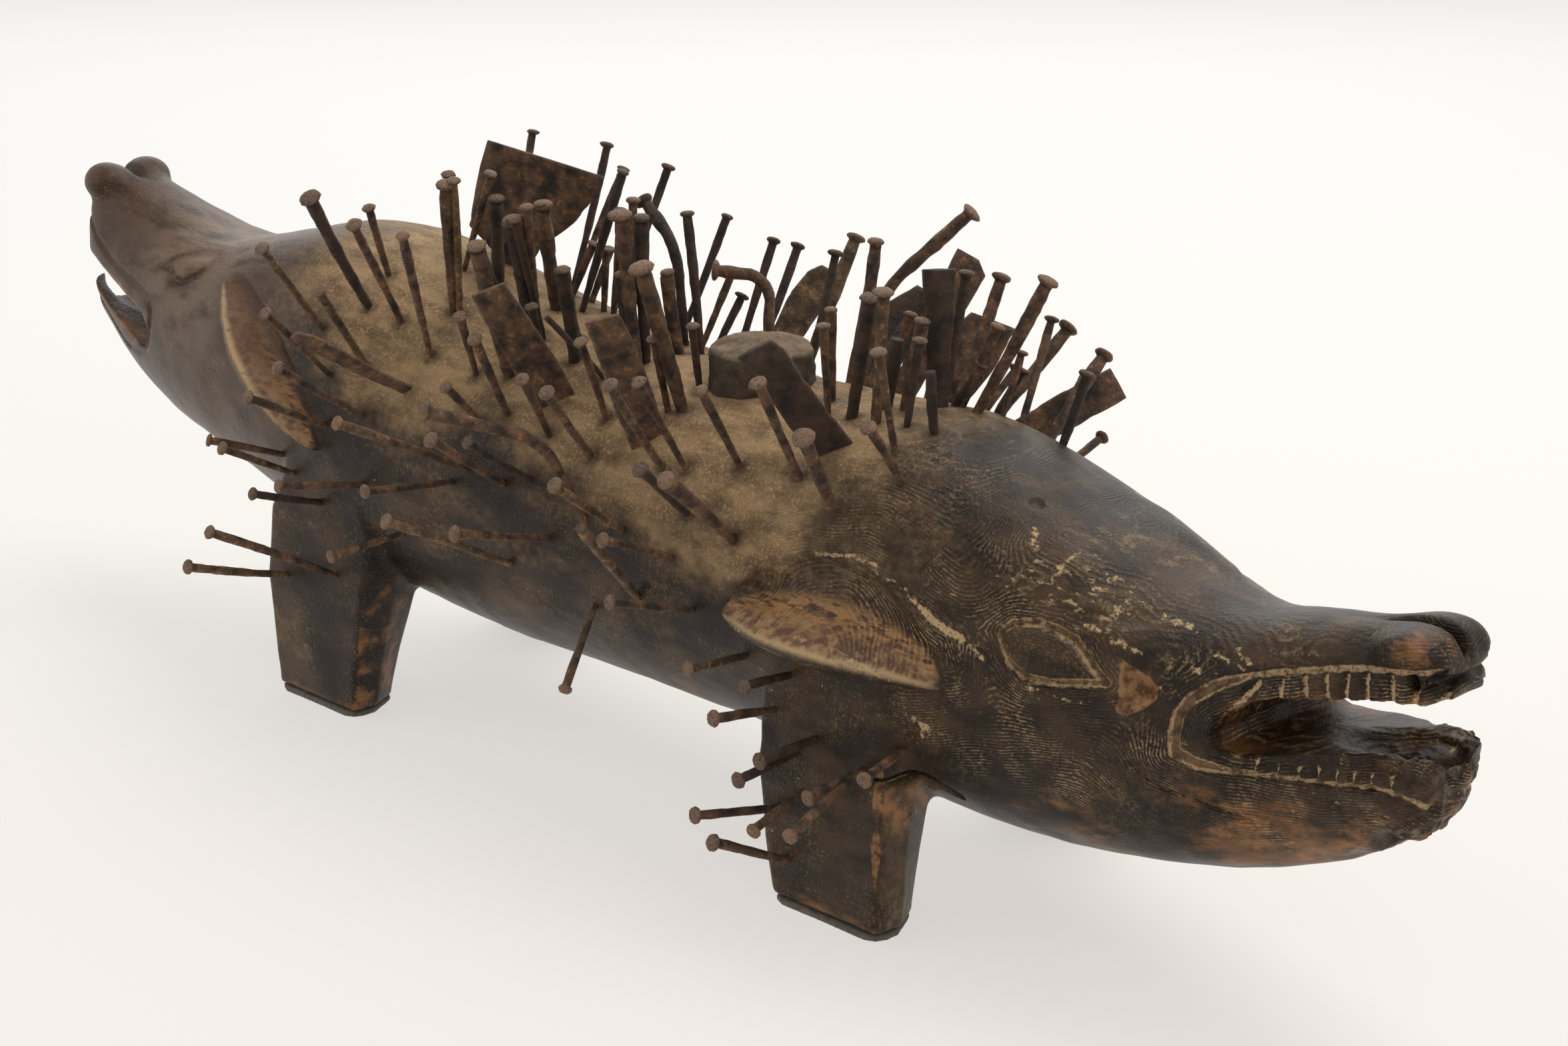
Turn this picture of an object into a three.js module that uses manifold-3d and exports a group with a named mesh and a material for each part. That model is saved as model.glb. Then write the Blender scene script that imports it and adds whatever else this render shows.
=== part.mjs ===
import * as THREE from 'three';
import { mergeVertices } from 'three/addons/utils/BufferGeometryUtils.js';
import Module from 'manifold-3d';

// A two-headed animal power figure, carved from one block of dark wood and
// bristling with hammered-in nails and blades. Millimetres, +Z up. The body
// runs along X with a head at each end, and the feet stand on Z = 0.

// Overall sizes.
const LENGTH = 856;
const BARREL_DEPTH = 144;
const BARREL_WIDTH = 154;
const SIDEWAYS_BOW = 9;
const BELLY_CLEARANCE = 51;

// Legs, feet and the felt under them.
const LEG_NEAR_X = 178;
const LEG_FAR_X = -169;
const FOOT_LENGTH = 61;
const FOOT_WIDTH = 30;
const BACK_FOOT_WIDTH = 22;
const STANCE_HALF = 79;
const FELT_THICKNESS = 3;
const FELT_OVERHANG = 1.5;

// Heads.
const NOSTRIL_RADIUS = 10.5;
const NOSTRIL_SPACING = 25;
const EAR_DEPTH = 15;
const GROOVE_RADIUS = 1.4;

// Medicine pack on the back.
const PACK_DIAMETER = 48;
const PACK_SIDE_HEIGHT = 24;
const PACK_DOME = 5;
const PACK_SINK = 8;
const PACK_ALONG = 15.5;
const PACK_ASIDE = 6;

// Nails, spikes and blades.
const NAIL_SHANK = 3.2;
const NAIL_HEAD = 7.2;
const NAIL_CAP = 2.2;
const SPIKE_SHANK = 6;
const SPIKE_HEAD = 11.5;
const SPIKE_CAP = 3;
const BLADE_THICKNESS = 2;
const BLADE_RIDGE = 1.5;
const IRON_SIDES = 5;

// Fit of the loose pieces.
const CLEARANCE = 0.3;
const SEAT_DEPTH = 9;

const wasm = await Module();
wasm.setup();

const HALF_LENGTH = LENGTH / 2;
const HALF_DEPTH = BARREL_DEPTH / 2;
const HALF_WIDTH = BARREL_WIDTH / 2;
const AXIS_HEIGHT = BELLY_CLEARANCE + HALF_DEPTH;
const rad = THREE.MathUtils.degToRad;
const vec = (x, y, z) => new THREE.Vector3(x, y, z);

// Places on the carving are given as percentages: along X of half the length,
// and in height of half the barrel depth, counted from the barrel's axis.
const alongAt = (along) => along / 100 * HALF_LENGTH;
const heightAt = (up) => AXIS_HEIGHT + up / 100 * HALF_DEPTH;

// Profile of the carving from the far nose (-1) to the near nose (+1). The
// columns are place along X, crest, keel and widest height above the barrel
// axis, and half width. Heights are parts of half the barrel depth.
const PROFILE = [
  [-1.000, 1.29, 0.36, 0.92, 0.17],
  [-0.986, 1.40, 0.18, 0.84, 0.29],
  [-0.958, 1.41, 0.05, 0.76, 0.36],
  [-0.907, 1.32, -0.13, 0.62, 0.43],
  [-0.837, 1.20, -0.29, 0.48, 0.53],
  [-0.780, 1.12, -0.39, 0.40, 0.61],
  [-0.720, 1.10, -0.46, 0.36, 0.68],
  [-0.670, 1.15, -0.51, 0.34, 0.74],
  [-0.600, 1.26, -0.60, 0.32, 0.81],
  [-0.520, 1.37, -0.71, 0.29, 0.88],
  [-0.440, 1.40, -0.80, 0.24, 0.94],
  [-0.370, 1.35, -0.91, 0.18, 0.98],
  [-0.280, 1.24, -1.00, 0.10, 1.00],
  [-0.140, 1.08, -1.05, 0.03, 1.00],
  [0.000, 1.00, -1.04, 0.00, 1.00],
  [0.140, 1.00, -1.03, 0.00, 1.00],
  [0.280, 1.03, -1.02, 0.00, 1.00],
  [0.385, 1.07, -1.03, -0.02, 0.99],
  [0.465, 1.02, -1.08, -0.05, 0.95],
  [0.560, 0.88, -1.11, -0.10, 0.88],
  [0.650, 0.71, -1.08, -0.14, 0.79],
  [0.720, 0.55, -1.02, -0.18, 0.70],
  [0.780, 0.50, -0.95, -0.20, 0.60],
  [0.837, 0.57, -0.85, -0.16, 0.51],
  [0.907, 0.65, -0.67, -0.06, 0.41],
  [0.958, 0.72, -0.50, 0.06, 0.36],
  [0.986, 0.70, -0.37, 0.14, 0.30],
  [1.000, 0.60, -0.20, 0.20, 0.17],
];

// Where the cross-sections are taken, closer together on the heads.
const SECTION_PLACES = [
  -1, -0.99, -0.965, -0.93, -0.89, -0.85, -0.81, -0.77, -0.73, -0.69, -0.64, -0.59,
  -0.54, -0.48, -0.42, -0.36, -0.3, -0.23, -0.15, -0.07, 0.03, 0.13, 0.22, 0.3, 0.38,
  0.44, 0.5, 0.56, 0.61, 0.66, 0.7, 0.74, 0.78, 0.82, 0.86, 0.9, 0.935, 0.97, 0.99, 1,
];
const SECTION_SIDES = 24;
const SECTION_POWER = 2.25;

// A smooth curve through one column of the profile.
function profileAt(place, column) {
  let i = 0;
  while (i < PROFILE.length - 2 && PROFILE[i + 1][0] < place) i += 1;
  const before = PROFILE[Math.max(i - 1, 0)];
  const from = PROFILE[i];
  const to = PROFILE[i + 1];
  const after = PROFILE[Math.min(i + 2, PROFILE.length - 1)];
  const span = to[0] - from[0];
  const t = THREE.MathUtils.clamp((place - from[0]) / span, 0, 1);
  const slopeFrom = (to[column] - before[column]) / (to[0] - before[0]) * span;
  const slopeTo = (after[column] - from[column]) / (after[0] - from[0]) * span;
  const t2 = t * t;
  const t3 = t2 * t;
  return (2 * t3 - 3 * t2 + 1) * from[column] + (t3 - 2 * t2 + t) * slopeFrom
    + (3 * t2 - 2 * t3) * to[column] + (t3 - t2) * slopeTo;
}

// The body bows a little sideways between the two noses.
const bowAt = (x) => SIDEWAYS_BOW * Math.max(0, 1 - (x / HALF_LENGTH) ** 2);

function sectionAt(x) {
  const place = THREE.MathUtils.clamp(x / HALF_LENGTH, -1, 1);
  return {
    middle: bowAt(x),
    crest: AXIS_HEIGHT + HALF_DEPTH * profileAt(place, 1),
    keel: AXIS_HEIGHT + HALF_DEPTH * profileAt(place, 2),
    wide: AXIS_HEIGHT + HALF_DEPTH * profileAt(place, 3),
    half: HALF_WIDTH * profileAt(place, 4),
  };
}

// A point on the skin at a turn from the crest, 90 degrees being the -Y flank.
function skinPoint(x, turn) {
  const s = sectionAt(x);
  const c = Math.cos(rad(turn));
  const n = Math.sin(rad(turn));
  const across = Math.sign(n) * Math.abs(n) ** (2 / SECTION_POWER);
  const rise = Math.abs(c) ** (2 / SECTION_POWER);
  const z = c >= 0 ? s.wide + (s.crest - s.wide) * rise : s.wide - (s.wide - s.keel) * rise;
  return vec(x, s.middle - s.half * across, z);
}

// A point on the flank at a height, side being -1 for -Y and +1 for +Y.
function flankPoint(x, z, side) {
  const s = sectionAt(x);
  const reach = z > s.wide ? s.crest - s.wide : s.wide - s.keel;
  const part = Math.min(Math.abs(z - s.wide) / reach, 0.999);
  const out = s.half * (1 - part ** SECTION_POWER) ** (1 / SECTION_POWER);
  return vec(x, s.middle + side * out, z);
}

// A closed body skinned over rings of points that all have the same count.
function skin(rings) {
  const count = rings[0].length;
  const points = rings.flat();
  const centre = (ring) => ring.reduce((sum, p) => sum.add(p), vec(0, 0, 0)).divideScalar(count);
  const first = points.length;
  const last = first + 1;
  points.push(centre(rings[0]), centre(rings[rings.length - 1]));
  const faces = [];
  for (let r = 0; r < rings.length - 1; r += 1) {
    for (let i = 0; i < count; i += 1) {
      const a = r * count + i;
      const b = r * count + (i + 1) % count;
      faces.push(a, b, b + count, a, b + count, a + count);
    }
  }
  const top = (rings.length - 1) * count;
  for (let i = 0; i < count; i += 1) {
    faces.push(first, (i + 1) % count, i);
    faces.push(last, top + i, top + (i + 1) % count);
  }
  const geometry = new THREE.BufferGeometry();
  const flat = points.flatMap((p) => [p.x, p.y, p.z]);
  geometry.setAttribute('position', new THREE.Float32BufferAttribute(flat, 3));
  geometry.setIndex(faces);
  return geometry;
}

// Booleans.
function signedVolume(positions, index) {
  let six = 0;
  const p = (i) => vec(positions[3 * i], positions[3 * i + 1], positions[3 * i + 2]);
  for (let i = 0; i < index.length; i += 3) {
    six += p(index[i]).dot(p(index[i + 1]).cross(p(index[i + 2])));
  }
  return six;
}

function solid(geometry) {
  const bare = geometry.clone();
  bare.deleteAttribute('normal');
  bare.deleteAttribute('uv');
  const merged = mergeVertices(bare, 1e-4);
  const positions = new Float32Array(merged.attributes.position.array);
  const index = new Uint32Array(merged.index.array);
  if (signedVolume(positions, index) < 0) {
    for (let i = 0; i < index.length; i += 3) {
      const swap = index[i];
      index[i] = index[i + 1];
      index[i + 1] = swap;
    }
  }
  return new wasm.Manifold(new wasm.Mesh({ numProp: 3, vertProperties: positions, triVerts: index }));
}

function geometryOf(body) {
  const mesh = body.getMesh();
  const geometry = new THREE.BufferGeometry();
  geometry.setAttribute('position', new THREE.Float32BufferAttribute(mesh.vertProperties, 3));
  geometry.setIndex(Array.from(mesh.triVerts));
  return geometry;
}

// An ellipsoid from a sphere.
function ellipsoid(centre, radii) {
  const geometry = new THREE.SphereGeometry(1, 9, 6);
  geometry.scale(radii.x, radii.y, radii.z);
  geometry.translate(centre.x, centre.y, centre.z);
  return solid(geometry);
}

// A slab through the whole width, with an outline in X and Z at each flank.
function slabAcross(outline, outlineBehind) {
  const reach = HALF_WIDTH;
  const front = outline.map(([along, up]) => vec(alongAt(along), -reach, heightAt(up)));
  const behind = outlineBehind.map(([along, up]) => vec(alongAt(along), reach, heightAt(up)));
  return solid(skin([front, behind]));
}

// A thin furrow that follows points on the skin.
function furrow(points, radius, sides, closed) {
  const rings = points.map((at, i) => {
    const next = closed ? points[(i + 1) % points.length] : points[Math.min(i + 1, points.length - 1)];
    const back = closed ? points[(i + points.length - 1) % points.length] : points[Math.max(i - 1, 0)];
    const along = next.clone().sub(back).normalize();
    const side = vec(0, 1, 0).cross(along).normalize();
    const out = along.clone().cross(side).normalize();
    const ring = [];
    for (let k = 0; k < sides; k += 1) {
      const a = rad(360 * k / sides + 45);
      ring.push(at.clone().addScaledVector(side, radius * Math.cos(a))
        .addScaledVector(out, radius * Math.sin(a)));
    }
    return ring;
  });
  if (!closed) return solid(skin(rings));
  const half = Math.floor(rings.length / 2);
  const firstHalf = solid(skin(rings.slice(0, half + 1)));
  const secondHalf = solid(skin([...rings.slice(half), rings[0]]));
  return firstHalf.add(secondHalf);
}

// Body and heads.
let figure = solid(skin(SECTION_PLACES.map((place) => {
  const ring = [];
  for (let i = 0; i < SECTION_SIDES; i += 1) {
    ring.push(skinPoint(place * HALF_LENGTH, 360 * i / SECTION_SIDES));
  }
  return ring;
})));

// Legs: square at the foot, wider where they run into the flank.
function legRing(z, back, front, outer, inner, side) {
  const round = 5;
  const middle = bowAt((back + front) / 2);
  const outline = [
    [back, outer - round], [back + round, outer], [front - round, outer], [front, outer - round],
    [front + 1, outer - 0.45 * (outer - inner)], [front - 7, inner], [back + 9, inner],
    [back + 1, outer - 0.6 * (outer - inner)],
  ];
  return outline.map(([x, y]) => vec(x, middle + side * y, z));
}

function footRing(z, centre, side, proud) {
  const width = side < 0 ? FOOT_WIDTH : BACK_FOOT_WIDTH;
  const half = FOOT_LENGTH / 2 + proud;
  const outer = STANCE_HALF + proud;
  return legRing(z, centre - half, centre + half, outer, outer - width - 2 * proud, side);
}

function leg(centre, head, side) {
  const outer = STANCE_HALF;
  const inner = STANCE_HALF - (side < 0 ? FOOT_WIDTH : BACK_FOOT_WIDTH);
  const back = centre - FOOT_LENGTH / 2;
  const front = centre + FOOT_LENGTH / 2;
  const [widerBack, widerFront] = head > 0 ? [8, 3] : [3, 15];
  const knee = BELLY_CLEARANCE + 11;
  return skin([
    footRing(FELT_THICKNESS + CLEARANCE, centre, side, 0),
    legRing(30, back - widerBack * 0.5, front + widerFront * 0.4, outer + 1, inner - 3, side),
    legRing(knee, back - widerBack, front + widerFront * 0.8, outer + 1, inner - 10, side),
    legRing(knee + 33, back - widerBack, front + widerFront, outer - 3, inner - 14, side),
    legRing(AXIS_HEIGHT + 6, back + 8, front - 8, outer - 12, inner - 14, side),
  ]);
}
for (const [centre, head] of [[LEG_NEAR_X, 1], [LEG_FAR_X, -1]]) {
  for (const side of [-1, 1]) {
    figure = figure.add(solid(leg(centre, head, side)));
  }
}

// Ears: half-moon ledges, flush at the upper rim, standing out at the lower
// lip, and hollowed between the two. The tip points to the middle of the body.
function ear(shape, side) {
  const tip = [alongAt(shape.tip[0]), heightAt(shape.tip[1])];
  const front = [alongAt(shape.front[0]), heightAt(shape.front[1])];
  const arch = shape.arch / 100 * HALF_DEPTH;
  const rings = [];
  for (const u of [0.02, 0.12, 0.28, 0.46, 0.64, 0.8, 0.92, 0.98]) {
    const x = THREE.MathUtils.lerp(tip[0], front[0], u);
    const z = THREE.MathUtils.lerp(tip[1], front[1], u);
    const bow = Math.sin(Math.PI * u) ** 0.7;
    const skew = Math.sin(Math.PI * u ** 0.8);
    const rim = arch * bow + 1;
    const lip = EAR_DEPTH * (0.25 + 0.75 * skew) * (1 - 0.75 * u ** 3);
    const deep = -16;
    const outline = [
      [-3 * bow - 1, deep], [-4 * bow - 1, lip - 2], [-2.5 * bow, lip],
      [0.05 * rim + 0.5, lip - 1], [0.22 * rim, lip - 9 * bow - 1], [0.5 * rim, lip - 11 * bow - 1],
      [0.82 * rim, 1.5 - 4 * bow], [rim, 1.8 * bow], [rim + 3 * bow, -3], [rim, deep],
    ];
    const chord = Math.hypot(front[0] - tip[0], front[1] - tip[1]);
    const ux = -(front[1] - tip[1]) / chord * Math.sign(front[0] - tip[0]);
    const uz = Math.abs(front[0] - tip[0]) / chord;
    rings.push(outline.map(([v, w]) => {
      const px = x + ux * v;
      const pz = z + uz * v;
      const base = flankPoint(px, pz, side);
      return vec(px, base.y + side * w, pz);
    }));
  }
  return solid(skin(rings));
}

const NEAR_EAR = { tip: [27.6, -1], front: [55.4, -10], arch: 53 };
const FAR_EAR = { tip: [-36.9, 12], front: [-64.5, 99], arch: 31 };
for (const side of [-1, 1]) {
  figure = figure.add(ear(NEAR_EAR, side));
  figure = figure.add(ear(FAR_EAR, side));
}

// Mouths: a wedge through the whole snout, hollowed above and below. The near
// one is worn lower on the +Y side, and the far one gapes wider.
const NEAR_ROOF = [
  [80.1, -3], [80.6, 7], [82, 15], [84.6, 21], [89.3, 28], [94.6, 35], [105.1, 42],
];
const NEAR_FLOOR = [[105.1, 19], [101.4, 15], [93.7, 10], [86.4, -4], [82.7, -11], [80.8, -10]];
const WORN_FLOOR = [[105.1, 7], [101.4, 4], [93.7, -1], [86.4, -8], [82.7, -11], [80.8, -10]];
const FAR_MOUTH = [
  [-79.7, 35], [-80.1, 44], [-81.5, 53], [-84.1, 57], [-89.3, 65], [-94.6, 75],
  [-105.1, 93], [-105.1, 68], [-100.5, 62], [-93.7, 46], [-86.4, 32], [-82.7, 26],
  [-80.6, 28],
];
const NEAR_NOSTRILS = [96.3, 56];
const FAR_NOSTRILS = [-97.2, 131];
for (const [along, up] of [NEAR_NOSTRILS, FAR_NOSTRILS]) {
  for (const side of [-1, 1]) {
    const lobe = vec(alongAt(along), side * NOSTRIL_SPACING / 2, heightAt(up));
    const radii = vec(NOSTRIL_RADIUS * 1.4, NOSTRIL_RADIUS * 1.1, NOSTRIL_RADIUS);
    figure = figure.add(ellipsoid(lobe, radii));
  }
}
figure = figure.subtract(slabAcross([...NEAR_ROOF, ...NEAR_FLOOR], [...NEAR_ROOF, ...WORN_FLOOR]));
figure = figure.subtract(slabAcross(FAR_MOUTH, FAR_MOUTH));
const TONGUE_HOLLOW = vec(0.093 * HALF_LENGTH, 0.25 * HALF_WIDTH, 0.19 * HALF_DEPTH);
const PALATE_HOLLOW = vec(0.08 * HALF_LENGTH, 0.22 * HALF_WIDTH, 0.1 * HALF_DEPTH);
for (const [along, tongue, palate] of [[92.8, 13, 32], [-92.8, 51, 72]]) {
  const below = vec(alongAt(along), 0, heightAt(tongue));
  const above = vec(alongAt(along), 0, heightAt(palate));
  figure = figure.subtract(ellipsoid(below, TONGUE_HOLLOW));
  figure = figure.subtract(ellipsoid(above, PALATE_HOLLOW));
}

// Carved lines on the flanks: leaf-shaped eyes and the lips.
function carveLine(outline, closed) {
  for (const side of [-1, 1]) {
    const points = outline.map(([along, up]) => flankPoint(alongAt(along), heightAt(up), side));
    figure = figure.subtract(furrow(points, GROOVE_RADIUS, 4, closed));
  }
}
const NEAR_EYE = [
  [59.9, 28], [60.8, 33], [62.8, 35], [64.8, 34], [66.5, 30], [67.8, 25], [70.2, 14],
  [67.8, 12], [65.4, 10], [63, 10], [61.2, 16],
];
const FAR_EYE = [
  [-77.8, 91], [-76.6, 95], [-73.8, 100], [-70.4, 102], [-69.9, 95], [-71.1, 89],
  [-73, 83], [-75.2, 83],
];
const NEAR_LIP = [
  [99.1, 55], [94.1, 50], [87.7, 40], [82.7, 31], [79.9, 23], [77.8, 12], [77.3, -3],
  [77.5, -14], [79.5, -18], [85.5, -16], [92, -12], [95.8, -8], [99, -14],
];
const FAR_LIP = [
  [-99.1, 111], [-95, 93], [-91.3, 82], [-86.2, 74], [-80, 65], [-78.8, 57],
  [-79.3, 43], [-81.5, 27], [-84.5, 20], [-88.8, 18], [-92, 27], [-98, 47],
];
carveLine(NEAR_EYE, true);
carveLine(FAR_EYE, true);
carveLine(NEAR_LIP, false);
carveLine(FAR_LIP, false);

const group = new THREE.Group();

function place(name, geometry, material) {
  const mesh = new THREE.Mesh(geometry, material);
  mesh.name = name;
  group.add(mesh);
}

// Iron. A direction leans from upright towards +X and tilts towards -Y.
function heading(lean, tilt) {
  const upright = Math.cos(rad(lean));
  return vec(Math.sin(rad(lean)), -upright * Math.sin(rad(tilt)), upright * Math.cos(rad(tilt)));
}

// A nail driven in at a base along one or more straight stretches, each with a
// length, a lean and a tilt. Grown by a clearance it is also its own hole.
function nail(base, stretches, gauge, grow) {
  const ways = stretches.map(([, lean, tilt]) => heading(lean, tilt));
  const ringAt = (centre, way, radius) => {
    const side = vec(0, 1, 0).cross(way).normalize();
    const across = way.clone().cross(side).normalize();
    const ring = [];
    for (let i = 0; i < IRON_SIDES; i += 1) {
      const a = 2 * Math.PI * i / IRON_SIDES;
      ring.push(centre.clone().addScaledVector(side, radius * Math.cos(a))
        .addScaledVector(across, radius * Math.sin(a)));
    }
    return ring;
  };
  const room = grow / Math.cos(Math.PI / IRON_SIDES);
  const thick = gauge.shank / 2 + room;
  const rings = [ringAt(base.clone().addScaledVector(ways[0], -SEAT_DEPTH - grow), ways[0], thick)];
  const end = base.clone();
  stretches.forEach(([length], i) => {
    end.addScaledVector(ways[i], length);
    if (i < stretches.length - 1) {
      const turned = ways[i].clone().add(ways[i + 1]).normalize();
      rings.push(ringAt(end, turned, thick * 1.04));
    }
  });
  const last = ways[ways.length - 1];
  const under = end.clone().addScaledVector(last, -gauge.cap - grow);
  rings.push(ringAt(under, last, thick * (gauge.head ? 1 : 0.9)));
  if (gauge.head) {
    rings.push(ringAt(end.clone().addScaledVector(last, -gauge.cap * 0.55), last, gauge.head / 2 + room));
    rings.push(ringAt(end.clone().addScaledVector(last, grow), last, gauge.head * 0.4 + room));
  } else {
    rings.push(ringAt(end.clone().addScaledVector(last, grow), last, thick * 0.6));
  }
  return solid(skin(rings));
}

// A blade stands on its base with an outline of heights up its length, each
// with its two edges and how far it is pushed out of its plane.
function blade(base, shape, grow) {
  const way = heading(shape.lean, shape.tilt);
  const east = vec(1, 0, 0).addScaledVector(way, -way.x).normalize();
  const north = way.clone().cross(east).normalize();
  const side = east.clone().multiplyScalar(Math.cos(rad(shape.yaw)))
    .addScaledVector(north, Math.sin(rad(shape.yaw)));
  const out = side.clone().cross(way).normalize();
  const half = BLADE_THICKNESS / 2 + grow;
  const ridge = shape.ridge ? BLADE_RIDGE : 0;
  const rows = [[-SEAT_DEPTH, shape.tang[0], shape.tang[1], 0], ...shape.outline];
  return solid(skin(rows.map(([up, from, to, push], i) => {
    let height = up;
    if (i === 0) height -= grow;
    if (i === rows.length - 1) height += grow;
    const middle = (from + to) / 2;
    const at = (along, away) => base.clone().addScaledVector(way, height)
      .addScaledVector(side, along).addScaledVector(out, away + push);
    return [at(from - grow, half), at(middle, half + ridge), at(to + grow, half),
      at(to + grow, -half), at(middle, -half), at(from - grow, -half)];
  })));
}

const iron = new THREE.MeshStandardMaterial({ color: 0x4a3429, roughness: 0.8, metalness: 0.5 });

function drive(name, shaped) {
  figure = figure.subtract(shaped(CLEARANCE));
  place(name, geometryOf(shaped(0)), iron);
}

const NAIL = { shank: NAIL_SHANK, head: NAIL_HEAD, cap: NAIL_CAP };
const SPIKE = { shank: SPIKE_SHANK, head: SPIKE_HEAD, cap: SPIKE_CAP };
const PEG = { shank: SPIKE_SHANK, head: 0, cap: SPIKE_CAP };

// Straight nails: place along the body, turn from the crest towards the -Y
// flank, exposed length, lean and tilt.
const NAILS = [
  [15.5, 53, 60, 8, 39], [33, 44, 57, 6, 32], [21, 66, 45, 9, 49], [12.5, 78, 54, 6, 54],
  [5.5, 56, 50, 9, 41], [-8.5, 52, 58, 18, 36], [-6, 76, 54, 4, 55], [-12.5, 17, 64, 5, 18],
  [-29, 39, 69, 13, 34], [-39.5, 56, 64, 10, 40], [-31, 59, 60, 15, 39], [-29.5, 75, 60, 3, 56],
  [-36, 85, 49, -2, 62], [-12, 76, 78, -2, 63], [-5, 100, 75, -3, 62], [1.5, 88, 54, -2, 75],
  [0.5, -33, 59, -2, -27], [3, -34, 60, -1, -30], [14, -22, 57, -2, -21],
  [-27.5, -38, 74, 0, -20], [-18, -29, 74, 6, -24],
];
const SPIKES = [
  [39, 53, 59, 17, 39], [28, 70, 59, 6, 50], [-26, 19, 68, 14, 13], [12.5, 28, 74, 3, 21],
  [32, 13, 57, 13, 3], [35.5, 14, 61, 10, 7], [40, -13, 65, 21, -16], [-34.5, 40, 75, 10, 34],
  [-22.5, 45, 78, 18, 26], [36.5, -37, 54, 10, -47], [42, -46, 51, 1, -48], [34, -25, 60, 0, -29],
  [2, -9, 65, -7, 0], [10.5, -33, 69, 2, -28],
];

// Nails in the outer faces of the legs: the leg, place along it as a percentage
// of the foot's length, height above the floor as a percentage of the belly
// clearance, exposed length, lean and tilt.
const LEG_NAILS = [
  [LEG_FAR_X, 35, 141, 80, -1, 61], [LEG_FAR_X, -28, 125, 60, -1, 73],
  [LEG_NEAR_X, -8, 157, 35, 3, 88],
];
const LEG_SPIKES = [[LEG_NEAR_X, 34, 145, 57, 14, 97]];

// Bent spikes: place, turn, and each stretch with its length, lean and tilt.
const BENT_SPIKES = [
  [7, 79, [[42, -14, 21], [53, -37, 70]]],
  [21, -24, [[44, -4, -24], [54, 36, -32]]],
  [-2, -14, [[46, -5, 2], [30, -52, -5]]],
  [7, -26, [[40, -10, -15], [28, -45, 80]]],
];
const HEADLESS_SPIKE = [15, 96, 68, 14, 45];

const nameOf = (kind, i) => `${kind}_${String(i + 1).padStart(2, '0')}`;
NAILS.forEach(([along, turn, length, lean, tilt], i) => {
  const base = skinPoint(alongAt(along), turn);
  drive(nameOf('nail', i), (grow) => nail(base, [[length, lean, tilt]], NAIL, grow));
});
SPIKES.forEach(([along, turn, length, lean, tilt], i) => {
  const base = skinPoint(alongAt(along), turn);
  drive(nameOf('spike', i), (grow) => nail(base, [[length, lean, tilt]], SPIKE, grow));
});
for (const [kind, gauge, rows] of [['leg_nail', NAIL, LEG_NAILS], ['leg_spike', SPIKE, LEG_SPIKES]]) {
  rows.forEach(([centre, along, up, length, lean, tilt], i) => {
    const x = centre + along / 100 * FOOT_LENGTH;
    const base = vec(x, bowAt(x) - STANCE_HALF, up / 100 * BELLY_CLEARANCE);
    drive(nameOf(kind, i), (grow) => nail(base, [[length, lean, tilt]], gauge, grow));
  });
}
BENT_SPIKES.forEach(([along, turn, stretches], i) => {
  const base = skinPoint(alongAt(along), turn);
  drive(nameOf('bent_spike', i), (grow) => nail(base, stretches, SPIKE, grow));
});
const headlessBase = skinPoint(alongAt(HEADLESS_SPIKE[0]), HEADLESS_SPIKE[1]);
drive('headless_spike', (grow) => nail(headlessBase, [HEADLESS_SPIKE.slice(2)], PEG, grow));

// Blades and plates. The tang is the width of the part that is driven in.
const BLADES = {
  wide_plate: {
    along: -29.5, turn: -14, lean: 13, tilt: -12, yaw: 45, tang: [-12, 6],
    outline: [[4, -13, 7, 0], [12, -27, 9, 0], [29, -29, 21, 0], [42, -30, 26, 0], [55, -30, 28, 0]],
  },
  leaning_plate_1: {
    along: -3.5, turn: 40, lean: -2, tilt: 32, yaw: 45, tang: [-8, 9],
    outline: [[20, -10, 10, 0], [45, -9, 9, 0], [66, -8, 8, 0]],
  },
  leaning_plate_2: {
    along: 11.5, turn: 44, lean: 3, tilt: 25, yaw: 45, tang: [-8, 8],
    outline: [[20, -9, 9, 0], [45, -8, 9, 0], [65, -8, 7, 0]],
  },
  folded_plate: {
    along: 34.5, turn: 30, lean: -9, tilt: 36, yaw: 45, tang: [-9, 8],
    outline: [[20, -10, 7, 0], [40, -9, 7, 0], [53, -8, 8, 0], [58, -11, 5, -3]],
  },
  ridged_blade: {
    along: 37, turn: -6, lean: -3, tilt: -2, yaw: 45, ridge: true, tang: [-4, 4],
    outline: [[8, -5, 4, 0], [32, -6, 6, 0], [58, -7, 7, 0]],
  },
  short_plate: {
    along: 30, turn: -36, lean: -5, tilt: -36, yaw: 40, tang: [-6, 6],
    outline: [[6, -11, 8, 0], [24, -15, 14, 0], [45, -4, 17, 0]],
  },
  crown_blade: {
    along: 38.5, turn: -46, lean: 21, tilt: -66, yaw: 55, tang: [-7, 7],
    outline: [[25, -8, 8, 0], [50, -7, 8, 0]],
  },
  tan_blade: {
    along: 1, turn: -48, lean: 6, tilt: -38, yaw: 40, tang: [-4, 4],
    outline: [[12, -6, 6, 0], [40, -9, 8, 0], [54, -7, 8, 0], [60, -3, 5, 0]],
  },
  leaf_blade: {
    along: 13.5, turn: -54, lean: 8, tilt: -40, yaw: 45, ridge: true, tang: [-4, 4],
    outline: [[8, -5, 5, 0], [30, -9, 8, 0], [50, -13, 10, 0], [64, -6, 8, 0]],
  },
  slant_plate: {
    along: 21, turn: -46, lean: 5, tilt: -36, yaw: 45, tang: [-5, 5],
    outline: [[12, -6, 6, 0], [44, -7, 7, 0], [72, -9, 8, 0], [77, -9, 2, 0]],
  },
};
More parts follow.
